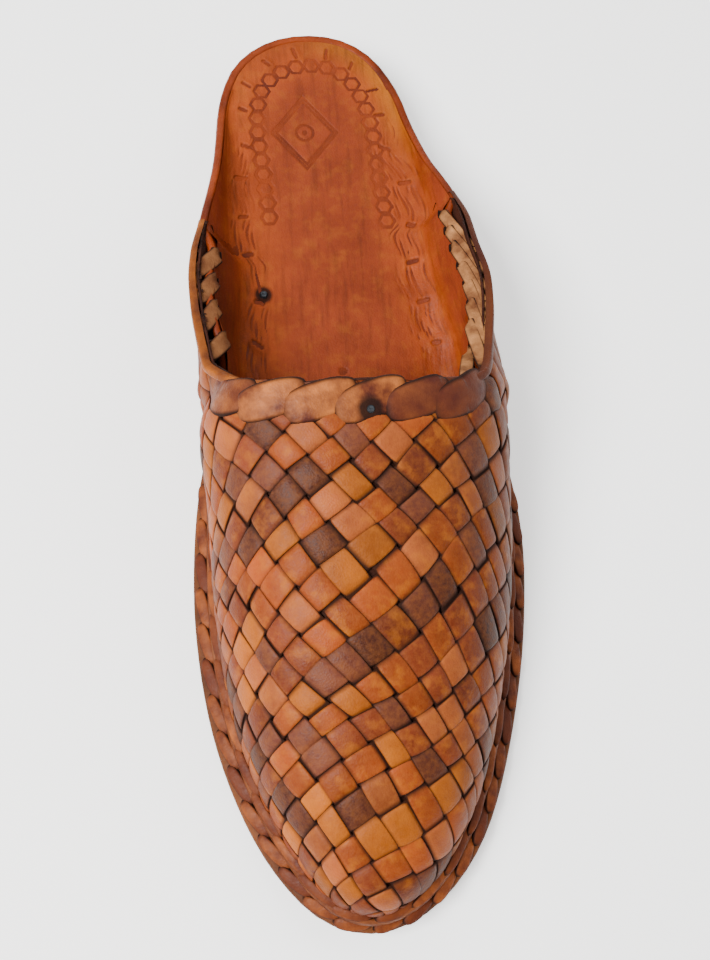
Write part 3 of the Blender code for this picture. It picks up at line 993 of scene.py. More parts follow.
class Shading:
    """A material's nodes."""

    def __init__(self, name: str) -> None:
        """Starts a material with only its shader.

        Args:
            name: the material's name.
        """
        self.material = bpy.data.materials.new(name)
        self.material.use_nodes = True
        self.tree = self.material.node_tree
        self.shader = self.tree.nodes["Principled BSDF"]

    def node(self, kind: str, settings: dict[str, str] | None = None, **inputs: Feed) -> bpy.types.Node:
        """Adds a node.

        Args:
            kind: the node's type.
            settings: its own properties.
            inputs: its sockets by name, with _ for a space, each a value or another node's socket.

        Returns:
            The node.
        """
        made = self.tree.nodes.new(kind)
        for name, value in (settings or {}).items():
            setattr(made, name, value)
        for name, value in inputs.items():
            self.connect(made.inputs[name.replace("_", " ")], value)
        return made

    def connect(self, socket: bpy.types.NodeSocket, value: Feed) -> None:
        """Links a socket to another, or sets its value.

        Args:
            socket: the socket that takes it.
            value: what it takes.
        """
        if isinstance(value, bpy.types.NodeSocket):
            self.tree.links.new(value, socket)
        else:
            socket.default_value = value

    def noise(self, size: float, detail: float = 3.0, roughness: float = 0.55) -> bpy.types.NodeSocket:
        """Cloudy noise.

        Args:
            size: about how large its blots are, in millimetres.
            detail: how many finer layers it has.
            roughness: how strong they are.

        Returns:
            Its strength, 0 to 1.
        """
        place = self.node("ShaderNodeTexCoord").outputs["Object"]
        settings = {"Scale": 1 / (size * MM), "Detail": detail, "Roughness": roughness}
        return self.node("ShaderNodeTexNoise", None, Vector=place, **settings).outputs["Fac"]

    def streaks(self, size: float) -> bpy.types.NodeSocket:
        """Noise drawn out along the shoe, as where a hide was stretched and rubbed lengthwise.

        Args:
            size: how wide a streak is, in millimetres.

        Returns:
            Its strength, 0 to 1.
        """
        place = self.node("ShaderNodeTexCoord").outputs["Object"]
        drawn = self.node("ShaderNodeMapping", None, Vector=place, Scale=(1.0, 0.1, 1.0)).outputs["Vector"]
        made = self.node("ShaderNodeTexNoise", None, Vector=drawn, Scale=1 / (size * MM), Detail=4.0)
        return made.outputs["Fac"]

    def cells(self, size: float) -> bpy.types.NodeSocket:
        """Small irregular cells, as in leather's grain.

        Args:
            size: how large they are, in millimetres.

        Returns:
            The distance from the middle of each place's cell.
        """
        place = self.node("ShaderNodeTexCoord").outputs["Object"]
        made = self.node("ShaderNodeTexVoronoi", None, Vector=place, Scale=1 / (size * MM))
        return made.outputs["Distance"]

    def mark(self, name: str, output: str) -> bpy.types.NodeSocket:
        """One of the piece's own attributes."""
        return self.node("ShaderNodeAttribute", {"attribute_name": name}).outputs[output]

    def fitted(
        self, value: Feed, low: float, high: float, start: float = 0.0, end: float = 1.0
    ) -> bpy.types.NodeSocket:
        """A value moved from one range to another, and held inside it.

        Args:
            value: the value.
            low: where its range starts.
            high: where its range ends.
            start: where the new range starts.
            end: where the new range ends.

        Returns:
            The moved value.
        """
        ranges = {"From_Min": low, "From_Max": high, "To_Min": start, "To_Max": end}
        return self.node("ShaderNodeMapRange", None, Value=value, **ranges).outputs["Result"]

    def mixed(self, share: Feed, first: Feed, second: Feed, blend: str = "MIX") -> bpy.types.NodeSocket:
        """Two colours mixed.

        Args:
            share: how much of the second there is.
            first: the first colour.
            second: the second colour.
            blend: the way they mix.

        Returns:
            The mixed colour.
        """
        made = self.node("ShaderNodeMix", {"data_type": "RGBA", "blend_type": blend})
        for socket, value in zip((made.inputs[0], made.inputs[6], made.inputs[7]), (share, first, second)):
            self.connect(socket, value)
        return made.outputs[2]

    def raised(
        self,
        height: Feed,
        distance: float,
        strength: float,
        under: bpy.types.NodeSocket | None = None,
    ) -> bpy.types.NodeSocket:
        """A bump.

        Args:
            height: where it is high and low, 0 to 1.
            distance: how high that is, in millimetres.
            strength: how much of it shows.
            under: another bump that it lies on.

        Returns:
            The bumped normal.
        """
        made = self.node("ShaderNodeBump", None, Height=height, Distance=distance * MM, Strength=strength)
        if under is not None:
            self.connect(made.inputs["Normal"], under)
        return made.outputs["Normal"]


@dataclass(frozen=True)
class Leather:
    """Vegetable-tanned leather, dyed, with painted shade darkening its hollows and edges and stains round its
    tacks, as its piece marks them.
    """

    name: str
    light: str
    dark: str
    # The near-black of the painted shade, of the stains round the tacks and of the long streaks.
    wax: str = "#1A0A05"
    blots: float = 9.0  # millimetres, the size of a cloud in the dye
    grain: float = 0.55  # millimetres, a grain of calf hide
    rough: float = 0.46
    grain_depth: float = 0.13  # millimetres
    patina: str = "#A25A10"
    patina_share: float = 0.5
    streak: float = 0.0
    shine: float = 0.12  # far below a dielectric's usual 0.5, for a waxed face that is never glossy
    own_dye: bool = False  # takes its colour from the piece's dye mark
    toned: bool = False  # takes its shade from that mark
    # The most of that near-black that the painted shade and the stains mix in.
    wax_share: float = 0.94

    def material(self) -> bpy.types.Material:
        """Builds the finish.

        Returns:
            The material.
        """
        made = Shading(self.name)
        blots = made.fitted(made.noise(self.blots, 4.0), 0.32, 0.68)
        flecks = made.fitted(made.noise(1.6, 5.0, 0.7), 0.35, 0.7)
        if self.own_dye:
            base = made.mark("dye", "Color")
            # Uneven dye: the eye sees each strip drift a little in shade along its length.
            base = made.mixed(made.fitted(blots, 0, 1, 0.0, 0.38), base, colour(self.dark), "MULTIPLY")
            base = made.mixed(made.fitted(flecks, 0, 1, 0.0, 0.16), base, colour(self.light))
            # Fine dark pores: the eye reads grain in each strip even where it is flat.
            specks = made.fitted(made.noise(0.7, 4.0, 0.75), 0.52, 0.72, 0.0, 0.3)
            base = made.mixed(specks, base, colour(self.dark))
            # Golden patina in patches smaller than a crossing, where hands and polish warmed the hide.
            glow = made.fitted(made.noise(4.4, 3.0), 0.5, 0.72, 0.0, self.patina_share)
            warmed = made.mixed(glow, base, colour(self.patina))
            base = made.mixed(made.mark("dye", "Alpha"), base, warmed)
        else:
            # Two shades in soft clouds: the eye reads a hand-dyed hide, not a coat of paint.
            base = made.mixed(blots, colour(self.dark), colour(self.light))
            base = made.mixed(made.fitted(flecks, 0, 1, 0.0, 0.25), base, colour(self.dark))
            if self.toned:
                # Each small strip has its own shade, as offcuts of several hides do.
                own = made.fitted(made.mark("dye", "Fac"), 0.15, 0.7, 0.85, 0.0)
                base = made.mixed(own, base, colour(self.dark))
        if self.streak:
            # Long dark streaks: the eye follows the way the foot slides in.
            drawn = made.fitted(made.streaks(1.7), 0.48, 0.72, 0.0, self.streak)
            base = made.mixed(drawn, base, colour(self.wax))
        # Painted shade in the hollows and along the cut edges, which draws every crossing, and the stains
        # round the tacks, both read from the piece's mark.
        waxed = made.fitted(made.mark("hollow", "Fac"), 0.05, 0.62, 0.0, self.wax_share)
        made.connect(made.shader.inputs["Base Color"], made.mixed(waxed, base, colour(self.wax)))
        # The places darkened by that painted shade and those stains are also made rough, so they stay dull
        # beside the rubbed faces.
        rubbed = made.fitted(flecks, 0, 1, self.rough - 0.07, self.rough + 0.12)
        made.connect(made.shader.inputs["Roughness"], made.mixed(waxed, rubbed, (0.85, 0.85, 0.85, 1.0)))
        # Pores and fine creases, which break up the shine.
        pores = made.raised(made.cells(self.grain), self.grain_depth, 0.5)
        creases = made.raised(made.noise(0.9, 6.0, 0.7), self.grain_depth, 0.3, pores)
        made.connect(made.shader.inputs["Normal"], creases)
        made.shader.inputs["Specular IOR Level"].default_value = self.shine
        return made.material


@dataclass(frozen=True)
class Iron:
    """A small hand-cut tack, dark with age and bright where feet have rubbed it."""

    name: str = "tack iron"

    def material(self) -> bpy.types.Material:
        """Builds the finish.

        Returns:
            The material.
        """
        made = Shading(self.name)
        worn = made.fitted(made.noise(0.9, 4.0), 0.35, 0.65)
        # Blue-grey metal with darker scale, so that the tack reads as iron against the leather.
        made.connect(made.shader.inputs["Base Color"], made.mixed(worn, colour("#1B1D20"), colour("#464A4F")))
        made.connect(made.shader.inputs["Roughness"], made.fitted(worn, 0, 1, 0.62, 0.36))
        made.connect(made.shader.inputs["Normal"], made.raised(made.noise(0.5), 0.08, 0.5))
        made.shader.inputs["Metallic"].default_value = 0.85
        return made.material


# ---------------------------------------------------------------------------------------------------
# The sub-assemblies
# ---------------------------------------------------------------------------------------------------


@dataclass
class Plait:
    """The plaited upper: two families of strips that pass over and under each other."""

    surface: UpperMap
    pitch: float = 8.5  # from one strip to the next, at the throat
    closing: float = 0.0006  # how much closer they draw for each millimetre towards the toe
    turn: float = 0.0022  # how much their direction turns for each millimetre, in radians
    cover: float = 0.488  # half a strip's width, as a share of the pitch
    stretch: float = 1.06  # crossings are this much further apart along one family than evenly
    under_binding: float = 1.1  # how far the strips sink under the throat binding
    end_sink: float = 1.0  # how far they sink at the back ends of the sides
    swing: float = 0.55  # how far a strip rises at a crossing where it lies on top
    crown: float = 0.17  # how far a strip's middle stands above its edges
    skirt: float = 1.0  # how far its edges turn down
    sink: float = 0.35  # how far the plait lies below the upper's outer face
    shaded_side: float = 0.42  # painted shade: how much darker the outer side is made, away from the key lamp
    tension: float = 0.14  # how far the hand's pull moves a crossing, as a share of the pitch
    steps: int = 10  # faces along a strip for each crossing
    seed: int = 11

    # The hand's uneven pull, as waves over the lattice: each one's force, its rates along the two
    # families, and where it starts. The first row moves crossings along one family, the second along
    # the other.
    PULLS = (
        ((1.0, 0.83, 0.35, 0.4), (0.7, 0.47, -0.91, 2.1), (0.3, 2.2, 0.9, 0.0)),
        ((1.0, 0.39, 0.87, 1.3), (0.7, 0.96, -0.42, 0.2), (0.3, 0.8, -2.1, 0.7)),
    )
    # A small repeat of dyes, one letter to a crossing, made up for this shoe.
    CHART = ("ORTOGRM", "RMOCTOO", "TOGRORC", "OCRTMOG", "MROOGTR")
    LETTERS = {
        "G": Dye.GOLDEN,
        "T": Dye.TAN,
        "O": Dye.ORANGE,
        "R": Dye.RUSSET,
        "M": Dye.MAUVE,
        "C": Dye.CHOCOLATE,
    }
    # How readily each dye lets the golden patina show.
    TAKES_PATINA = {"G": 0.5, "T": 0.7, "O": 1.0, "R": 0.75, "M": 0.2, "C": 0.1}
    ACROSS = (-0.97, -1.0, -0.96, -0.86, -0.6, -0.3, 0.0, 0.3, 0.6, 0.86, 0.96, 1.0, 0.97)
    LEVEL = (-1.0, -0.5, -0.16, -0.02, 0.0, 0.0, 0.0, 0.0, 0.0, -0.02, -0.16, -0.5, -1.0)
    LIMIT = 26  # strips on either side of the middle one
    SHADES = (0.17, 0.6, 1.4)  # how much crossings differ in shade, and the darkest and lightest
    SWAPS = (7, 3)  # a crossing draws a number below 7, and moves on that many letters if it is below 3
    PLATEAU = 1.9  # how flat a strip lies on top of a crossing
    MARGIN = 4  # millimetres, the strips keep this far from the map's sides, and half of it from its back
    OVERRUN = 0.6  # of a crossing, past a strip's last one
    BOUND = (50.0, 58.0)  # girths over which the throat binding's hold on the strips ends
    BOUND_AHEAD = (5.5, 9.0)  # and how far ahead of the throat's edge it ends
    TOE_GAP = 0.5  # how far the strips stop short of the unrolled upper's front
    SHADED = (0.0, 62.0)  # girths over which that painted shade deepens
    PROBES = 8  # places to a crossing that are tried for a strip's ends

    def __post_init__(self) -> None:
        """Draws each crossing's small change of shade."""
        drawn = np.random.default_rng(self.seed)
        size = 2 * self.LIMIT + 1
        spread, darkest, lightest = self.SHADES
        self.shade = drawn.normal(1.0, spread, (2, size, size)).clip(darkest, lightest)
        self.swap = drawn.integers(0, self.SWAPS[0], (2, size, size))

    def drift(self, lattice: np.ndarray) -> np.ndarray:
        """How far the hand's uneven pull has moved each crossing off the even lattice.

        Args:
            lattice: lattice places, one unit to a strip.

        Returns:
            One move for each place, in the same units.
        """
        x, y = lattice.real, lattice.imag
        across, along = (
            sum(force * np.sin(a * x + b * y + start) for force, a, b, start in waves)
            for waves in self.PULLS
        )
        return self.tension * (across + 1j * along)

    def unrolled(self, lattice: np.ndarray) -> np.ndarray:
        """From lattice places to the map.

        Args:
            lattice: lattice places, one unit to a strip.

        Returns:
            (girth + i ahead) for each place.
        """
        lattice = lattice + self.drift(lattice)
        stretched = lattice.real * self.stretch + 1j * lattice.imag / self.stretch
        turned = stretched * np.exp(0.25j * math.pi)
        flat = -np.log(1 - self.turn * self.pitch * turned) / self.turn
        closer = 1 - self.closing * np.maximum(flat.imag, 0.0)
        return closer * flat

    def back_edge(self, girth: np.ndarray) -> np.ndarray:
        """How far back the plait reaches: to the collar, or to the end of the side.

        Args:
            girth: distances round the foot.

        Returns:
            One distance along the crest for each girth.
        """
        found = np.zeros_like(girth)
        behind = self.surface.stations < 0
        stations = self.surface.stations[behind]
        for side in Side:
            collar = np.array(self.surface.collar_girth[side])[behind]
            order = np.argsort(collar)
            ends = np.concatenate([[0.0], collar[order]])
            at = np.concatenate([[0.0], stations[order]])
            on = girth * side.value >= 0
            found[on] = np.maximum(np.interp(np.abs(girth[on]), ends, at), self.side_end(side))
        return found

    @staticmethod
    def side_end(side: Side) -> float:
        """How far behind the throat one side's plait ends, lapped over the footbed's turned-up side."""
        return -(THROAT - UPPER_BACK[side] + LAP) * CREST_SLANT

    def lapped(self, girth: np.ndarray, ahead: np.ndarray) -> np.ndarray:
        """How far the plait has risen off the footbed's turned-up side, where it lies at its very end.

        Args:
            girth: distances round the foot.
            ahead: distances towards the toe.

        Returns:
            0 to 1 for each place.
        """
        ends = np.where(girth >= 0, self.side_end(Side.LATERAL), self.side_end(Side.MEDIAL))
        return ramp(ahead - ends, 1.0, LAP)

    def held(self, girth: np.ndarray, ahead: np.ndarray) -> tuple[np.ndarray, np.ndarray, np.ndarray]:
        """Holds places inside the upper's outline.

        Args:
            girth: distances round the foot.
            ahead: distances towards the toe.

        Returns:
            The held girths and aheads, and which places were inside already.
        """
        back = self.back_edge(girth)
        inside = ahead >= back
        ahead = np.clip(ahead, back, self.surface.ahead_end - self.TOE_GAP)
        foot = self.surface.edge_girth(self.surface.foot_girth, girth, ahead)
        inside &= np.abs(girth) <= foot
        return np.sign(girth) * np.minimum(np.abs(girth), foot), ahead, inside

    def dye_at(self, family: int, along: np.ndarray, line: int) -> np.ndarray:
        """The colour of the crossing nearest each place where the strip lies on top.

        Args:
            family: 0 or 1, as for strip.
            along: lattice places along the strip.
            line: which strip of its family.

        Returns:
            Red, green, blue and the share of patina for each place.
        """
        parity = (line + family) % 2
        cell = (2 * np.round((along - parity) / 2) + parity).astype(int)
        rows, columns = (cell, np.full_like(cell, line)) if family else (np.full_like(cell, line), cell)
        i = np.clip(rows + self.LIMIT, 0, 2 * self.LIMIT)
        j = np.clip(columns + self.LIMIT, 0, 2 * self.LIMIT)
        colours = []
        for row, column, swap, shade in zip(rows, columns, self.swap[family, i, j], self.shade[family, i, j]):
            text = self.CHART[(row + 2 * family) % len(self.CHART)]
            letter = text[(column + (swap if swap < self.SWAPS[1] else 0)) % len(text)]
            red, green, blue, _ = colour(self.LETTERS[letter].value)
            colours.append((red * shade, green * shade, blue * shade, self.TAKES_PATINA[letter]))
        return np.array(colours)

    def strip(self, piece: Piece, family: int, line: int) -> None:
        """Adds one strip, from edge to edge of the upper.

        Args:
            piece: the piece it becomes part of.
            family: 0 for strips that run forward to the outer side, 1 for those to the inner side.
            line: which strip of its family.
        """
        reach = np.linspace(-self.LIMIT, self.LIMIT, self.PROBES * self.LIMIT + 1)
        probe = self.unrolled(reach + 1j * line if family == 0 else line + 1j * reach)
        _, _, inside = self.held(probe.real, probe.imag)
        near = np.abs(probe.real) < self.surface.reach - self.MARGIN
        inside &= near & (probe.imag > self.surface.back + self.MARGIN / 2)
        if not inside.any():
            return
        start, end = reach[inside].min() - self.OVERRUN, reach[inside].max() + self.OVERRUN

        def bend(u: np.ndarray, v: np.ndarray) -> Bend:
            """Weaves the grid over and under.

            Args:
                u: shares along the strip.
                v: shares across it.

            Returns:
                The strip's points.
            """
            along = start + (end - start) * u
            across, level = profile(v, self.ACROSS, self.LEVEL)
            # Cut by hand: each strip wanders a little, and its width changes along it.
            wander = 0.05 * np.sin(1.7 * line + 0.9 * along + family) + 0.03 * np.sin(2.9 * line)
            width = 0.955 + 0.045 * np.sin(2.3 * line + 1.1 * family) + 0.03 * np.sin(1.3 * along + line)
            side = across * self.cover * width + wander
            lattice = along + 1j * (line - side) if family == 0 else (line + side) + 1j * along
            place = self.unrolled(lattice)
            girth, ahead, keep = self.held(place.real, place.imag)
            wave = np.cos(math.pi * (along - (line + family) % 2))
            over = np.tanh(self.PLATEAU * wave) / math.tanh(self.PLATEAU)
            above = self.swing * over + self.crown * (1 - across**2) * (0.55 + 0.45 * over)
            above += level * self.skirt - self.sink
            behind = 1 - ramp(ahead - self.back_edge(girth), *self.BOUND_AHEAD)
            above -= self.under_binding * behind * (1 - ramp(np.abs(girth), *self.BOUND))
            above -= self.end_sink * (1 - self.lapped(girth, ahead))
            places = self.surface.place(girth, ahead, above)
            # Painted shade where the strip dips under, along its cut edges and down its sides.
            hollow = np.clip(0.8 * (0.45 - over) + 0.9 * np.abs(across) ** 16 - 0.6 * level, 0, 1)
            dye = self.dye_at(family, along, line)
            # Painted shade: the outer side, away from the key lamp, is darkened in the dye mark.
            dye[:, :3] *= (1 - self.shaded_side * ramp(girth, *self.SHADED))[:, None]
            return Bend(places, keep, hollow, dye)

        cells = max(1, int(round((end - start) * self.steps)))
        piece.add_grid(cells, len(self.ACROSS) - 1, bend)

    def build(self) -> None:
        """Makes both families of strips."""
        finish = Leather("plaited cowhide", "#A86224", "#5E2A14", own_dye=True, rough=0.5).material()
        for family, name in enumerate(("plait_outward", "plait_inward")):
            piece = Piece(name)
            for line in range(-self.LIMIT, self.LIMIT + 1):
                self.strip(piece, family, line)
            nodes = ("upper",) if family == 0 else ()
            piece.finished("upper", finish, *nodes)


@dataclass
class VampLining:
    """The dark backing that shows between the strips and inside the shoe."""

    plait: Plait
    depth: float = 1.7  # below the upper's outer face
    thick: float = 0.7
    reach: float = 92.0  # girths on either side of the crest
    behind: float = 74.0  # how far it goes back from the throat
    short: float = 0.6  # how far it stops short of the toe
    # How much painted shade darkens the whole backing, evenly, where it shows between the strips and inside
    # the shoe.
    waxed: float = 0.35

    CELLS = (184, 196)

    def build(self) -> None:
        """Makes the backing a little inside the strips."""
        surface = self.plait.surface

        def bend(u: np.ndarray, v: np.ndarray) -> Bend:
            """Lays the grid under the strips.

            Args:
                u: shares round the foot.
                v: shares from the toe back.

            Returns:
                The backing's points.
            """
            girth = (2 * u - 1) * self.reach
            ahead = surface.ahead_end - self.short - v * (surface.ahead_end + self.behind)
            girth, ahead, keep = self.plait.held(girth, ahead)
            bent = plain_bend(surface.place(girth, ahead, -self.depth), self.waxed)
            return bent._replace(keep=keep)

        piece = Piece("vamp_lining")
        piece.add_grid(*self.CELLS, bend)
        finish = Leather("waxed backing leather", "#4A2212", "#2C120A", rough=0.6).material()
        made = piece.finished("upper", finish)
        wall = made.modifiers.new("wall", "SOLIDIFY")
        wall.thickness = self.thick * MM
        wall.offset = -1


@dataclass
class Edging:
    """The folded edges of the upper: the throat binding, the collar strips and the back ends."""

    plait: Plait
    band_width: float = 2.4
    band_front: float = -2.0  # where the collar bands end, beside the throat
    leaf_length: float = 20.0
    leaf_width: float = 10.2
    leaf_slant: float = -2.9  # how far ahead of its middle a turn's end towards the outer side lies
    leaf_ahead: float = 4.3  # how far the middle of the turns lies ahead of the throat's edge
    leaf_reach: float = 32.9  # from the crest to the middle of the last turn
    leaf_height: float = 0.25  # above the upper's outer face, at its middle
    leaf_lap: float = 0.45  # how much higher its inner end is than its middle, and its outer end lower
    stain: float = 4.6  # how far the tack's stain reaches
    band_height: float = 0.7
    band_tuck: float = 0.3  # how far it reaches over the collar
    end_height: float = -0.2  # of the strips down the back ends
    end_dip: float = 0.9  # how far the band comes down to the footbed's side
    throat_dip: float = 1.8  # how far it goes under the binding
    dips_from: float = -9.0

    LEAF_TONES = (0.34, 0.74, 0.72, 0.62, 0.2, 0.16)
    BAND_TONES = {Side.MEDIAL: 0.72, Side.LATERAL: 0.08}
    END_TONE = 0.4

    def lay(
        self,
        piece: Piece,
        ribbon: Ribbon,
        girth: np.ndarray,
        ahead: np.ndarray,
        above: np.ndarray | float,
        tone: float,
    ) -> None:
        """Lays a strip on the upper.

        Args:
            piece: the piece it becomes part of.
            ribbon: the strip.
            girth: where it runs, round the foot.
            ahead: where it runs, towards the toe.
            above: how far above the outer face it runs.
            tone: its shade.
        """
        surface = self.plait.surface
        ribbon.lay(piece, surface.place(girth, ahead, above), surface.outwards(girth, ahead), tone)

    def leaves(self) -> None:
        """Makes the turns of leather along the throat, each one's inner end over the one before."""
        piece = Piece("throat_binding")
        ribbon = Ribbon(self.leaf_width, 1.9, crown=0.4, taper=0.72, along=36, outline=0.9)
        centres = np.linspace(-self.leaf_reach, self.leaf_reach, len(self.LEAF_TONES))
        for centre, tone in zip(centres, self.LEAF_TONES):
            share = np.linspace(-1, 1, 13)
            girth = centre + share * self.leaf_length / 2
            ahead = self.plait.back_edge(girth) + self.leaf_ahead + share * self.leaf_slant
            self.lay(piece, ribbon, girth, ahead, self.leaf_height - self.leaf_lap * share, tone)
        piece.stain("throat_tack", self.stain)
        finish = Leather("binding leather", "#A65E2A", "#42190F", blots=7.0, rough=0.5, toned=True)
        piece.finished("upper", finish.material())

    def bands(self) -> None:
        """Makes the smooth strip along each collar and down each back end."""
        surface = self.plait.surface
        piece = Piece("collar_band")
        top, down = (
            Ribbon(self.band_width, 2.0, crown=0.3, along=along, outline=0.1, rim=0.2) for along in (90, 50)
        )
        for side in Side:
            back = self.plait.side_end(side)
            ahead = np.linspace(back, self.band_front, 60)
            collar = np.interp(ahead, surface.stations, surface.collar_girth[side])
            girth = side.value * (collar + self.band_width / 2 - self.band_tuck)
            above = self.band_height - self.end_dip * (1 - self.plait.lapped(girth, ahead))
            above = above - self.throat_dip * ramp(ahead, self.dips_from, self.band_front)
            self.lay(piece, top, girth, ahead, above, self.BAND_TONES[side])
            foot = float(np.interp(back, surface.stations, surface.foot_girth[side]))
            girth = side.value * np.linspace(float(collar[0]), foot, 40)
            ahead = np.full(40, back + self.band_width / 2)
            self.lay(piece, down, girth, ahead, self.end_height, self.END_TONE)
        finish = Leather("collar leather", "#9A5210", "#3E190F", blots=12.0, rough=0.5, toned=True)
        piece.finished("upper", finish.material())

    def build(self) -> None:
        """Makes the edgings."""
        self.leaves()
        self.bands()


class ThongRow(NamedTuple):
    """A row of thongs on the shelf outside the upper, and the sizes of its thongs."""

    share: float  # how far in it lies, as a share of the shelf
    height: float  # above the outsole
    pitch: float
    length: float
    width: float
    slant: float  # how much further in one end of a thong lies than the other


@dataclass
class Welt:
    """The thongs that lace the upper to the sole round the forefoot."""

    sole: SoleForm
    start: float = 146.0  # from the heel
    thick: float = 1.2
    dip: float = 0.3  # how far a thong's end towards the heel dips, for the next one to lie over it
    points: int = 9
    lean: float = 0.45  # how much the thongs face outwards rather than up
    tone: float = 0.42
    tone_swing: float = 0.26  # how much lighter or darker one thong is than that
    outer: ThongRow = ThongRow(0.36, 1.5, 9.6, 12.5, 3.7, 2.4)
    inner: ThongRow = ThongRow(0.77, 4.6, 12.5, 16.0, 2.8, 1.1)

    def lay(self, piece: Piece, side: Side, row: ThongRow) -> None:
        """Lays one row of thongs round one side of the forefoot.

        Args:
            piece: the piece they become part of.
            side: the side of the shoe.
            row: where they lie, and their sizes.
        """
        whole = float(self.sole.run_at(side, self.start))
        count = int(whole // row.pitch)
        share = np.linspace(-1, 1, self.points)
        for k in range(count):
            runs = np.clip((k + 0.5) * whole / count + share * row.length / 2, 0.2, None)
            at = self.sole.edge_point(side, runs, np.zeros(self.points))[:, 0]
            insets = row.share * smooth(UPPER_INSET, "upper", at) + share * row.slant / 2 * side.value
            plan = self.sole.edge_point(side, runs, insets)
            height = self.sole.top(plan[:, 0]) + row.height - self.dip * share
            outward = plan - self.sole.edge_point(side, runs, insets + 1.0)
            out = unit(np.column_stack([outward * self.lean, np.ones(self.points)]))
            tone = self.tone + self.tone_swing * math.sin(2.1 * k + side.value + row.height)
            line = np.column_stack([plan, height])
            Ribbon(row.width, self.thick, taper=0.85, along=16, outline=0.8).lay(piece, line, out, tone)

    def build(self) -> None:
        """Makes both rows of thongs, the upper one over the rand."""
        piece = Piece("thong_stitches")
        for side in Side:
            self.lay(piece, side, self.outer)
            self.lay(piece, side, self.inner)
        finish = Leather("lacing thong", "#8E4A1E", "#481D0E", blots=5.0, rough=0.52, toned=True)
        piece.finished("rand", finish.material())


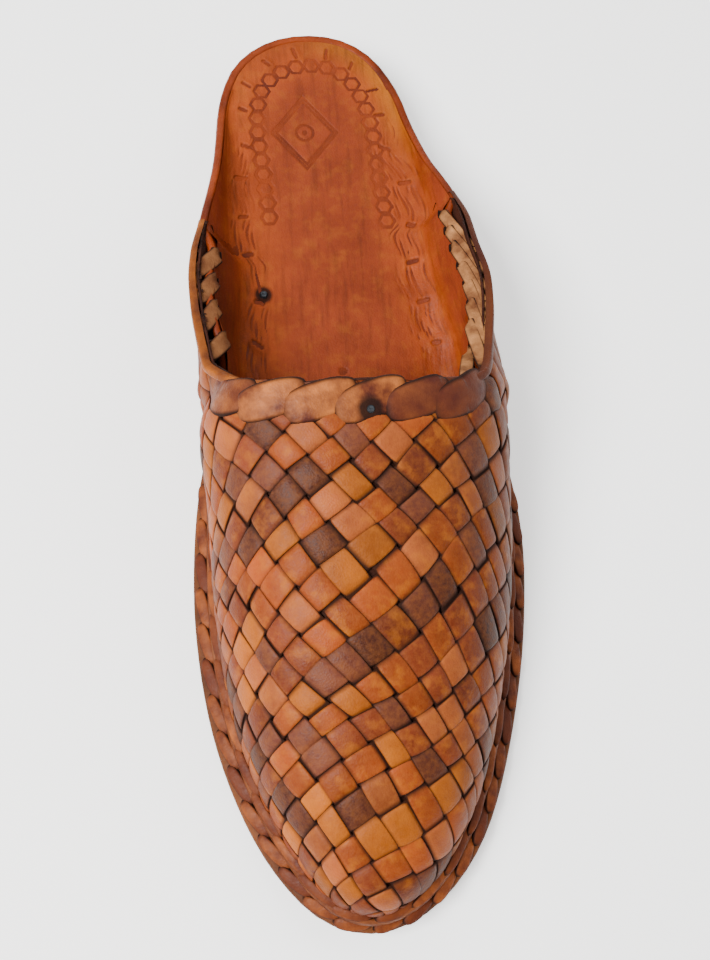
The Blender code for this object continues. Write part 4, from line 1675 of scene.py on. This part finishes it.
@dataclass
class Footbed:
    """The insole's upper face with its turned-up sides, tooled and stitched."""

    sole: SoleForm
    upper: UpperForm
    front: float = 170.0  # from the heel, well under the vamp
    heel_centre: float = 34.0  # from the heel, where the lines in from its edge meet
    lift: float = 0.12  # the face's height over the body's own
    clear_of_body: float = 0.3
    slit_pitch: float = 12.8
    slit_length: float = 4.6
    slit_seed: int = 5
    slit_end: float = 118.0  # from the heel
    slit_depth: float = 1.2
    stamp_depth: float = 0.5
    wrinkle_depth: float = 0.4
    pucker_height: float = 0.3  # how far the hide rises beside a slit
    stain: float = 3.6  # how far the tack's stain reaches
    ring_pitch: float = 4.9
    ring_size: float = 2.1  # from its middle to the middle of a side
    ring_inset_heel: float = 12.0
    ring_inset_waist: float = 14.5
    ring_end: float = 72.0  # from the heel
    stamp: tuple[float, float] = (36.0, -3.5)  # the lozenge's middle, from the heel and across
    stamp_half: tuple[float, float] = (12.6, 10.0)
    stamp_lines: tuple[float, float] = (8.0, 7.0)  # the first is its outline, the next one is inside it
    stamp_ring: float = 2.6
    line_width: float = 0.5
    nail: tuple[float, float] = (114.0, 3.0)  # a small nail hole, from the heel and across

    FOLD_ANGLES = (0, 20, 40, 60, 75, 90)
    FOLD_END = 9  # the point of a line in from the edge where its fold ends
    MIDDLE_STEPS = 12
    SLITS = 48
    AROUND = 740
    INWARD = 122
    RING_NEAR = 4.0  # further than any part of a ring from its middle
    RING_RUNS = 1.35  # the steps that the chain is measured in, for each pitch of it
    RING_WIDENS = (20.0, 60.0)  # from the heel, where the chain's inset changes
    DOT = (0.4, 0.9)  # from the ornament's middle
    HOLE, HOLE_DEPTH = (0.6, 1.3), 2.4  # from the nail hole's middle, and its depth for a stamp's
    NO_SLIT = 9.0  # further from a slit than it shows
    SLIT_PAST_FOLD = 2.5  # from the fold's end in to the middle of a slit
    # How much the slits differ: in slope, place, length and depth.
    SLOPES, PLACES, LENGTHS, FORCES = 0.28, 0.8, (-1.1, 0.5), (0.55, 1.0)
    SLIT_SIDE, SLIT_TIP = (0.25, 0.75), 0.9  # over which a slit ends beside its line, and at its tip
    PUCKER_SIDE, PUCKER_TIP = (0.8, 3.2), (1.5, 4.5)
    CHANNEL, CHANNEL_LATERAL = (2.6, 4.6), 1.5  # where the wrinkles end, and how much wider that is
    WRINKLED, WRINKLED_TO = (24.0, 62.0), (112.0, 130.0)  # from the heel
    # Painted shade under the vamp, on the inner side, in the stamped lines and in the wrinkles.
    UNDER_VAMP, UNDER_VAMP_WAX = (112.0, 150.0), 0.3
    INNER_SIDE, PAST_HEEL, INNER_WAX = (18.0, 34.0), (50.0, 100.0), 0.34
    STAMP_WAX, WRINKLE_WAX = 0.46, 0.42
    GOLDEN_IN, GOLDEN_FROM_HEEL, GOLDEN_ACROSS, GOLDEN_LEAST = (2.0, 12.0), (22.0, 58.0), (-10.0, 12.0), 0.12
    RED_IN, RISEN = (9.0, 22.0), (2.0, 9.0)
    WARM, RED = "#8A3810", "#742C12"  # the hide near its edge, and in its middle
    WORN, TURNED_UP = "#93500A", "#80331A"  # golden at the heel's edge, and up the sides

    def wall_outwards(self, side: Side, from_heel: float, height: np.ndarray) -> np.ndarray:
        """How far the side wall stands outside its own foot.

        Args:
            side: which side of the foot.
            from_heel: where along the shoe.
            height: heights above that foot.

        Returns:
            One distance for each height.
        """
        held = min(max(from_heel, WING_START), WING_END - WING_EASE)
        section = self.upper.side_section(side, held, 13)
        outwards = side.value * (section[:, 1] - section[0, 1])
        stands = ramp(from_heel, WING_START, WING_START + WING_EASE)
        stands *= 1 - ramp(from_heel, WING_FALL + WING_EASE, WING_END)
        return stands * np.interp(height, section[:, 2] - section[0, 2], outwards)

    @staticmethod
    def tucked(side: Side, from_heel: float) -> float:
        """0 where the turned-up side is bare, and 1 where it stands inside the upper."""
        end = UPPER_BACK[side] - WING_TUCKED_BY
        return ramp(from_heel, end - WING_TUCK, end)

    def wing(self, side: Side, from_heel: float) -> float:
        """How far the turned-up side rises above the footbed.

        Args:
            side: which side of the foot.
            from_heel: where along the shoe.

        Returns:
            Its height, 0 where there is none.
        """
        if not WING_START < from_heel < WING_END:
            return 0.0
        held = min(from_heel, WING_FALL)
        tuck = self.tucked(side, from_heel)
        top = smooth(COLLAR, side.column("high"), held) - WING_BELOW_COLLAR * tuck
        return max(0.0, top - self.sole.floor(held)) * (1 - ramp(from_heel, WING_FALL, WING_END))

    def inner_line(self, side: Side, run: float) -> np.ndarray:
        """A line in over the footbed from one point of its edge.

        Args:
            side: which side of the foot.
            run: the distance along that side's edge from the toe.

        Returns:
            Places from the top of the turned-up side, down its inner face, to the footbed's middle.
        """
        from_heel = float(self.sole.edge_point(side, run, 0.0)[0])
        tuck = self.tucked(side, from_heel)
        clear = WING_CLEARANCE * tuck
        clear += WING_NARROWING * ramp(from_heel, WING_FALL - WING_EASE, WING_FALL + WING_EASE)
        inset = smooth(UPPER_INSET, "upper", from_heel) + clear
        wing = self.wing(side, from_heel)
        fold = min(FOLD, wing)
        face = FOOTBED_THICK + 0.1
        top = face + wing
        start = face + FOLD_RISE * fold
        angles = np.radians(self.FOLD_ANGLES)
        inward = np.concatenate([[WING_THICK] * 4, WING_THICK + 0.2 + (1.4 + fold) * (1 - np.cos(angles))])
        upright = np.linspace(top, start, 5)[:4]
        up = np.concatenate([upright, start - (start - FOOTBED_THICK) * np.sin(angles)])
        outwards = self.wall_outwards(side, from_heel, up) - self.clear_of_body
        plan = self.sole.edge_point(side, np.full(len(up), run), inset + inward - outwards)
        line = np.column_stack([plan, self.sole.top(plan[:, 0]) + GAP + up])
        centre = max(from_heel, self.heel_centre)
        across = -1.0 - 1.5 * ramp(centre, 60.0, 120.0)
        middle = np.array([centre, across, self.sole.floor(centre)])
        share = np.linspace(0, 1, self.MIDDLE_STEPS)[1:, None]
        inside = line[-1] * (1 - share) + middle * share
        inside[:, 2] = self.sole.floor(inside[:, 0])
        return np.vstack([line, inside])

    def ring_centres(self) -> np.ndarray:
        """The middles of the stamped rings, in a chain round the heel.

        Returns:
            One (from heel, across) pair for each.
        """
        found = []
        for side in Side:
            end = self.sole.length(side)
            start = float(self.sole.run_at(side, self.ring_end))
            runs = np.arange(end, start, -self.ring_pitch * self.RING_RUNS)
            at = self.sole.edge_point(side, runs, np.zeros(len(runs)))[:, 0]
            widen = self.ring_inset_waist - self.ring_inset_heel
            inset = self.ring_inset_heel + widen * ramp(at, *self.RING_WIDENS)
            line = self.sole.edge_point(side, runs, inset)
            steps = runs_of(line)
            first = 0 if side is Side.LATERAL else self.ring_pitch  # only one ring where the sides meet
            found.append(read_line(np.arange(first, steps[-1], self.ring_pitch), steps, line))
        return np.vstack(found)

    def tooling(self, places: np.ndarray) -> np.ndarray:
        """How deeply the stamped rings, lozenge, ornament and nail hole mark the face.

        Args:
            places: places on the face.

        Returns:
            The depth at each, 0 to 1 for a stamp and more in the hole.
        """
        plan = places[:, :2]
        deep = np.zeros(len(plan))
        # The rings are six-sided: three pairs of sides, each pair as far from the middle.
        sides = [(math.cos(angle), math.sin(angle)) for angle in np.radians((0, 60, 120))]
        for centre in self.ring_centres():
            away = plan - centre
            near = np.linalg.norm(away, axis=1) < self.RING_NEAR
            reach = np.max([np.abs(away[near] @ side) for side in sides], axis=0)
            deep[near] = np.maximum(deep[near], self.stamped(reach, self.ring_size))
        away = np.abs(plan - self.stamp)
        lozenge = (away[:, 0] / self.stamp_half[0] + away[:, 1] / self.stamp_half[1]) * self.stamp_lines[0]
        for at in self.stamp_lines:
            deep = np.maximum(deep, self.stamped(lozenge, at))
        radius = np.linalg.norm(plan - self.stamp, axis=1)
        deep = np.maximum(deep, self.stamped(radius, self.stamp_ring))
        deep = np.maximum(deep, 1 - ramp(radius, *self.DOT))
        hole = self.HOLE_DEPTH * (1 - ramp(np.linalg.norm(plan - self.nail, axis=1), *self.HOLE))
        return np.maximum(deep, hole)

    def stamped(self, reach: np.ndarray, line: float) -> np.ndarray:
        """1 where a reach is that of a stamped line, and 0 beside it."""
        return 1 - ramp(np.abs(reach - line), 0.1, self.line_width)

    def lines(self) -> tuple[np.ndarray, np.ndarray, np.ndarray, np.ndarray]:
        """The lines in over the footbed, from all round its edge, and where the slits lie on them.

        Returns:
            Each line's places, how far along its slit they are, how far the line is from the nearest
            slit, and that slit's number.
        """
        found, beside, numbers = [], [], []
        for side in (Side.MEDIAL, Side.LATERAL):
            inner = side is Side.MEDIAL
            front = float(self.sole.run_at(side, self.front))
            runs = np.linspace(front, self.sole.length(side), self.AROUND // 2 + 1)
            at = (self.sole.length(side) - runs) / self.slit_pitch
            number = np.floor(at).astype(int) + (0 if inner else self.SLITS // 2)
            offset = (at - np.floor(at) - 0.5) * self.slit_pitch
            heel = np.array([self.sole.edge_point(side, run, 0.0)[0] for run in runs])
            offset[heel > self.slit_end] = self.NO_SLIT
            turn = slice(None) if inner else slice(-2, None, -1)
            found += [self.inner_line(side, run) for run in runs[turn]]
            beside += list(offset[turn])
            numbers += list(number[turn])
        dense, along = [], []
        for line in found:
            steps = runs_of(line)
            wanted = np.linspace(0, steps[-1], self.INWARD + 1)
            dense.append(read_line(wanted, steps, line))
            rise = max(0.0, float(line[0, 2] - line[self.FOLD_END, 2]) - FOOTBED_THICK)
            along.append(wanted - steps[self.FOLD_END] - self.SLIT_PAST_FOLD + min(FOLD, rise))
        return np.array(dense), np.array(along), np.array(beside), np.array(numbers)

    def wrinkles(self, i: np.ndarray, places: np.ndarray, along: np.ndarray, near: np.ndarray) -> np.ndarray:
        """The fine wrinkles in the channel between the slits.

        Args:
            i: the number of each place's line.
            places: the places.
            along: how far along its slit each is.
            near: how far from that slit each is.

        Returns:
            How deep they are at each place, 0 to 1.
        """
        reach = np.where(places[:, 1] > 0, self.CHANNEL_LATERAL, 1.0)
        channel = 1 - ramp(np.abs(along) / reach, *self.CHANNEL)
        channel = channel * (1 - ramp(places[:, 0], *self.WRINKLED_TO))
        channel *= ramp(near, 0.5, 1.6) * (0.15 + 0.85 * ramp(places[:, 0], *self.WRINKLED))
        # They run across the channel, unevenly, and fade in and out along it.
        uneven = 1.7 * np.sin(i * 0.11) + 1.3 * np.sin(i * 0.043 + 1.0) + 0.7 * np.sin(i * 0.29 + along)
        fade = 0.5 + 0.5 * np.sin(1.4 * along + i * 0.19 + 1.4 * np.sin(i * 0.051))
        return channel * fade * (0.5 + 0.5 * np.sin(4.6 * along + uneven)) ** 2

    def dyed(self, places: np.ndarray) -> np.ndarray:
        """The hide's colour before its painted shade and stain: warm at the edge, redder inside, golden round
        the heel.

        Args:
            places: places on the face.

        Returns:
            A colour for each.
        """
        from_heel, across, height = places.T
        inset = self.sole.inset_of(from_heel, across)
        golden = (1 - ramp(inset, *self.GOLDEN_IN)) * (1 - ramp(from_heel, *self.GOLDEN_FROM_HEEL))
        golden *= self.GOLDEN_LEAST + (1 - self.GOLDEN_LEAST) * ramp(across, *self.GOLDEN_ACROSS)
        golden = golden[:, None]
        inner = ramp(inset, *self.RED_IN)[:, None]
        warm, red, worn, turned_up = (
            np.array(colour(code)) for code in (self.WARM, self.RED, self.WORN, self.TURNED_UP)
        )
        dye = (warm * (1 - inner) + red * inner) * (1 - golden) + worn * golden
        risen = ramp(height - self.sole.floor(from_heel), *self.RISEN)[:, None]
        dye = dye * (1 - risen) + turned_up * risen
        dye[:, 3] = 1.0
        return dye

    def build(self) -> None:
        """Makes the footbed's face, tooled, with a slit at every stitch."""
        table, along, beside, numbers = self.lines()
        drawn = np.random.default_rng(self.slit_seed)
        lean = drawn.normal(0.0, self.SLOPES, self.SLITS)
        moved = drawn.normal(0.0, self.PLACES, self.SLITS)
        longer = drawn.uniform(*self.LENGTHS, self.SLITS)
        force = drawn.uniform(*self.FORCES, self.SLITS)

        def bend(u: np.ndarray, v: np.ndarray) -> Bend:
            """Bends the grid round the footbed and cuts the tooling into it.

            Args:
                u: shares round the edge.
                v: shares of the way in.

            Returns:
                The face's points.
            """
            i = np.round(u * (len(table) - 1)).astype(int)
            j = np.round(v * self.INWARD).astype(int)
            places = table[i, j].copy()
            deep = self.tooling(places)
            signed = along[i, j] + 0.5 * np.sin(i * 0.23)
            radial = np.abs(signed)
            number = numbers[i]
            near = np.abs(beside[i] - moved[number] - lean[number] * signed)
            end = (self.slit_length + longer[number]) / 2
            slit = force[number] * (1 - ramp(near, *self.SLIT_SIDE))
            slit = slit * (1 - ramp(radial, end - self.SLIT_TIP, end))
            pucker = (1 - ramp(near, *self.PUCKER_SIDE)) * (1 - ramp(radial, *self.PUCKER_TIP))
            wrinkle = self.wrinkles(i, places, signed, near)
            raised = self.lift + self.pucker_height * pucker - self.stamp_depth * deep
            places[:, 2] += raised - self.slit_depth * slit - self.wrinkle_depth * wrinkle
            # Painted shade: darker under the vamp and on the inner side, where shade falls.
            inner = self.INNER_WAX * ramp(-places[:, 1], *self.INNER_SIDE)
            shade = self.UNDER_VAMP_WAX * ramp(places[:, 0], *self.UNDER_VAMP)
            shade = shade + inner * ramp(places[:, 0], *self.PAST_HEEL)
            # Painted shade in the stamped lines, the nail hole, the slits and the wrinkles, on top of that.
            hollow = np.clip(self.STAMP_WAX * deep + slit + shade + self.WRINKLE_WAX * wrinkle, 0, 1)
            return Bend(places, np.ones(len(u), bool), hollow, self.dyed(places))

        piece = Piece("footbed_face")
        piece.add_grid(len(table) - 1, self.INWARD, bend)
        bmesh.ops.remove_doubles(piece.mesh, verts=piece.mesh.verts, dist=0.02 * MM)
        piece.stain("footbed_tack", self.stain)
        finish = Leather(
            "footbed leather",
            "#8F4008",
            "#6A2408",
            patina_share=0.16,
            streak=0.3,
            own_dye=True,
            blots=16.0,
            rough=0.5,
        )
        piece.finished("footbed", finish.material())


@dataclass
class SideLacing:
    """Raw-backed strips that lace the footbed's turned-up sides to the plaited sides."""

    plait: Plait
    footbed: Footbed
    end: float = 130.0  # from the heel
    hole: float = 2.6
    clear_of_throat: float = 3.0
    down: float = 0.55  # how far down the first step of the turned-up side a strip comes out
    inward: float = 0.5  # how far it stands off that side's inner face
    past_collar: float = 0.4  # its end's distance round the foot from the collar
    under_plait: float = 0.9  # how far that end lies below the upper's outer face

    START = {Side.LATERAL: 71.0, Side.MEDIAL: 86.0}
    PITCH = {Side.LATERAL: 6.5, Side.MEDIAL: 9.5}
    LEAN = {Side.LATERAL: 18.0, Side.MEDIAL: 8.0}
    WIDTH = {Side.LATERAL: 3.7, Side.MEDIAL: 5.0}
    TONE = {Side.LATERAL: 0.72, Side.MEDIAL: 0.3}

    def build(self) -> None:
        """Makes a strip at every step along both sides, and a dark patch of painted shade for its hole."""
        strips, holes = Piece("side_lacing"), Piece("lacing_holes")
        for side in Side:
            for at in np.arange(self.START[side], self.end, self.PITCH[side]):
                self.lace(strips, holes, side, at)
        raw = Leather("raw-backed lacing", "#A26E42", "#4C2814", blots=6.0, rough=0.75, toned=True)
        strips.finished("upper", raw.material())
        dark = Leather("shadowed hole", "#1E0B05", "#120603", rough=0.8)
        holes.finished("footbed", dark.material())

    def lace(self, strips: Piece, holes: Piece, side: Side, at: float) -> None:
        """Makes one strip, from its hole over the turned-up side's edge to the plait's collar.

        Args:
            strips: the piece that the strip becomes part of.
            holes: the piece that its hole becomes part of.
            side: which side of the foot.
            at: the hole's distance from the heel.
        """
        surface = self.plait.surface
        inner = self.footbed.inner_line(side, float(surface.form.sole.run_at(side, at)))
        reached = min(at + self.LEAN[side], THROAT - self.clear_of_throat)
        ahead = np.array([(reached - THROAT) * CREST_SLANT])
        collar = np.interp(ahead, surface.stations, surface.collar_girth[side])
        top = surface.place(side.value * (collar + self.past_collar), ahead, -self.under_plait)[0]
        inward = np.array([0.0, -side.value * self.inward, 0.0])
        start = inner[0] * (1 - self.down) + inner[1] * self.down + inward
        over = inner[0] + inward * 0.4 + (1.0, 0.0, 0.5)
        line = np.array([start, inner[0] + inward, over, top])
        out = np.array([inward * 2, inward * 2 + (0, 0, 0.5), (0, -side.value * 0.4, 1.0), (0, 0, 1.0)])
        strip = Ribbon(self.WIDTH[side], 0.9, crown=0.15, taper=0.3, along=12, outline=0.8)
        strip.lay(strips, line, out, self.TONE[side])
        # The hole is a flat dark patch on the turned-up side's inner face: painted shade for the hole.
        low, half = start + inward * 0.5, (self.hole / 2, 0, 0)
        across = np.array([low - half, low, low + half])
        hole = Ribbon(self.hole * 0.7, 0.3, crown=0.05, taper=0.9, along=8)
        hole.lay(holes, across, np.tile(inward * 2, (3, 1)), 0.1)


class Carried:
    """Pieces whose shape is the frame's own, made smooth and given their leather."""

    MERGED = 0.01  # millimetres, points this close are one

    def copy(self, node: str, finish: Leather, crease: float = 35.0) -> None:
        """Copies a node, joins its loose triangles and dresses it.

        Args:
            node: the frame's node.
            finish: its leather.
            crease: edges sharper than this, in degrees, stay sharp.
        """
        mesh = bmesh.new()
        mesh.from_mesh(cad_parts[node].data)
        bmesh.ops.remove_doubles(mesh, verts=mesh.verts, dist=self.MERGED * MM)
        data = bpy.data.meshes.new(node + "_leather")
        mesh.to_mesh(data)
        mesh.free()
        data.shade_smooth()
        data.set_sharp_from_angle(angle=math.radians(crease))
        dress(bpy.data.objects.new(node + "_leather", data), node, finish.material(), node)

    def build(self) -> None:
        """Makes the sole, heel, rand and the body of the footbed, and dresses the tacks."""
        self.copy("outsole", Leather("sole leather edge", "#6E3C1C", "#43220F", blots=20.0, rough=0.58))
        self.copy("heel", Leather("stacked heel leather", "#5C311A", "#38190C", blots=12.0, rough=0.6))
        self.copy("footbed", Leather("footbed body leather", "#7C300A", "#4A1806", blots=16.0), 50)
        self.copy("rand", Leather("rand leather", "#76401F", "#47200F", blots=8.0, rough=0.5), 60)
        iron = Iron().material()
        for name in ("throat_tack", "footbed_tack"):
            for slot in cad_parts[name].material_slots:
                slot.material = iron


class Lamp(NamedTuple):
    """A large soft lamp: its name, its place and size in metres, and its power in watts."""

    name: str
    place: Triple
    size: float
    power: float


@dataclass
class Studio:
    """The floor, the soft light and the camera."""

    eye: Triple = (-46.0, -240.0, 380.0)
    aim: Triple = (3.0, -121.0, 20.0)
    up: Triple = (0.0365, 0.9503, 0.309)
    lens: float = 51.5
    floor_size: float = 3.0
    floor_glow: float = 0.7
    sky: float = 0.38

    WHITE = (1.0, 1.0, 1.0, 1.0)
    LIT = (0.0, -0.1, 0.0)  # metres, the middle of the shoe, which every lamp looks at
    LAMPS = (
        Lamp("key lamp", (-0.6, -0.35, 0.9), 0.5, 31.0),
        Lamp("fill lamp", (0.75, 0.1, 0.8), 0.9, 6.0),
        Lamp("back lamp", (-0.1, 0.75, 0.8), 0.7, 6.0),
    )

    def floor(self) -> None:
        """Makes a wide pale floor."""
        mesh = bmesh.new()
        bmesh.ops.create_grid(mesh, x_segments=1, y_segments=1, size=self.floor_size)
        data = bpy.data.meshes.new("floor")
        mesh.to_mesh(data)
        mesh.free()
        paint = Shading("pale floor")
        # Matt, and glowing a little, so that the shoe's shadow on it stays faint.
        looks = {
            "Base Color": colour("#F4F3F1"),
            "Roughness": 0.85,
            "Emission Color": self.WHITE,
            "Emission Strength": self.floor_glow,
        }
        for name, value in looks.items():
            paint.shader.inputs[name].default_value = value
        data.materials.append(paint.material)
        made = bpy.data.objects.new("floor", data)
        bpy.context.scene.collection.objects.link(made)

    def hang(self, lamp: Lamp) -> None:
        """Hangs one lamp that looks at the shoe.

        Args:
            lamp: the lamp.
        """
        data = bpy.data.lights.new(lamp.name, "AREA")
        data.size = lamp.size
        data.energy = lamp.power
        made = bpy.data.objects.new(lamp.name, data)
        made.location = lamp.place
        toward = Vector(self.LIT) - made.location
        made.rotation_euler = toward.to_track_quat("-Z", "Y").to_euler()
        bpy.context.scene.collection.objects.link(made)

    def camera(self) -> None:
        """Places the camera high over the toe."""
        data = bpy.data.cameras.new("camera")
        data.lens = self.lens
        made = bpy.data.objects.new("camera", data)
        eye, aim = Vector(self.eye) * MM, Vector(self.aim) * MM
        back = (eye - aim).normalized()
        right = Vector(self.up).cross(back).normalized()
        up = back.cross(right)
        turned = Matrix((right, up, back)).transposed().to_4x4()
        made.matrix_world = Matrix.Translation(eye) @ turned
        bpy.context.scene.collection.objects.link(made)
        bpy.context.scene.camera = made

    def build(self) -> None:
        """Sets up the studio."""
        world = bpy.data.worlds.new("studio")
        world.use_nodes = True
        light = world.node_tree.nodes["Background"].inputs
        light["Color"].default_value = self.WHITE
        light["Strength"].default_value = self.sky
        bpy.context.scene.world = world
        self.floor()
        for lamp in self.LAMPS:
            self.hang(lamp)
        self.camera()


def main() -> None:
    """Builds the shoe on its frame."""
    logging.basicConfig(level=logging.INFO, format="%(name)s: %(message)s")
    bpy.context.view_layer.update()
    sole = SoleForm()
    upper = UpperForm(sole)
    plait = Plait(UpperMap(upper))
    Carried().build()
    plait.build()
    VampLining(plait).build()
    Edging(plait).build()
    Welt(sole).build()
    footbed = Footbed(sole, upper)
    footbed.build()
    SideLacing(plait, footbed).build()
    Studio().build()


if __name__ == "__main__":
    main()
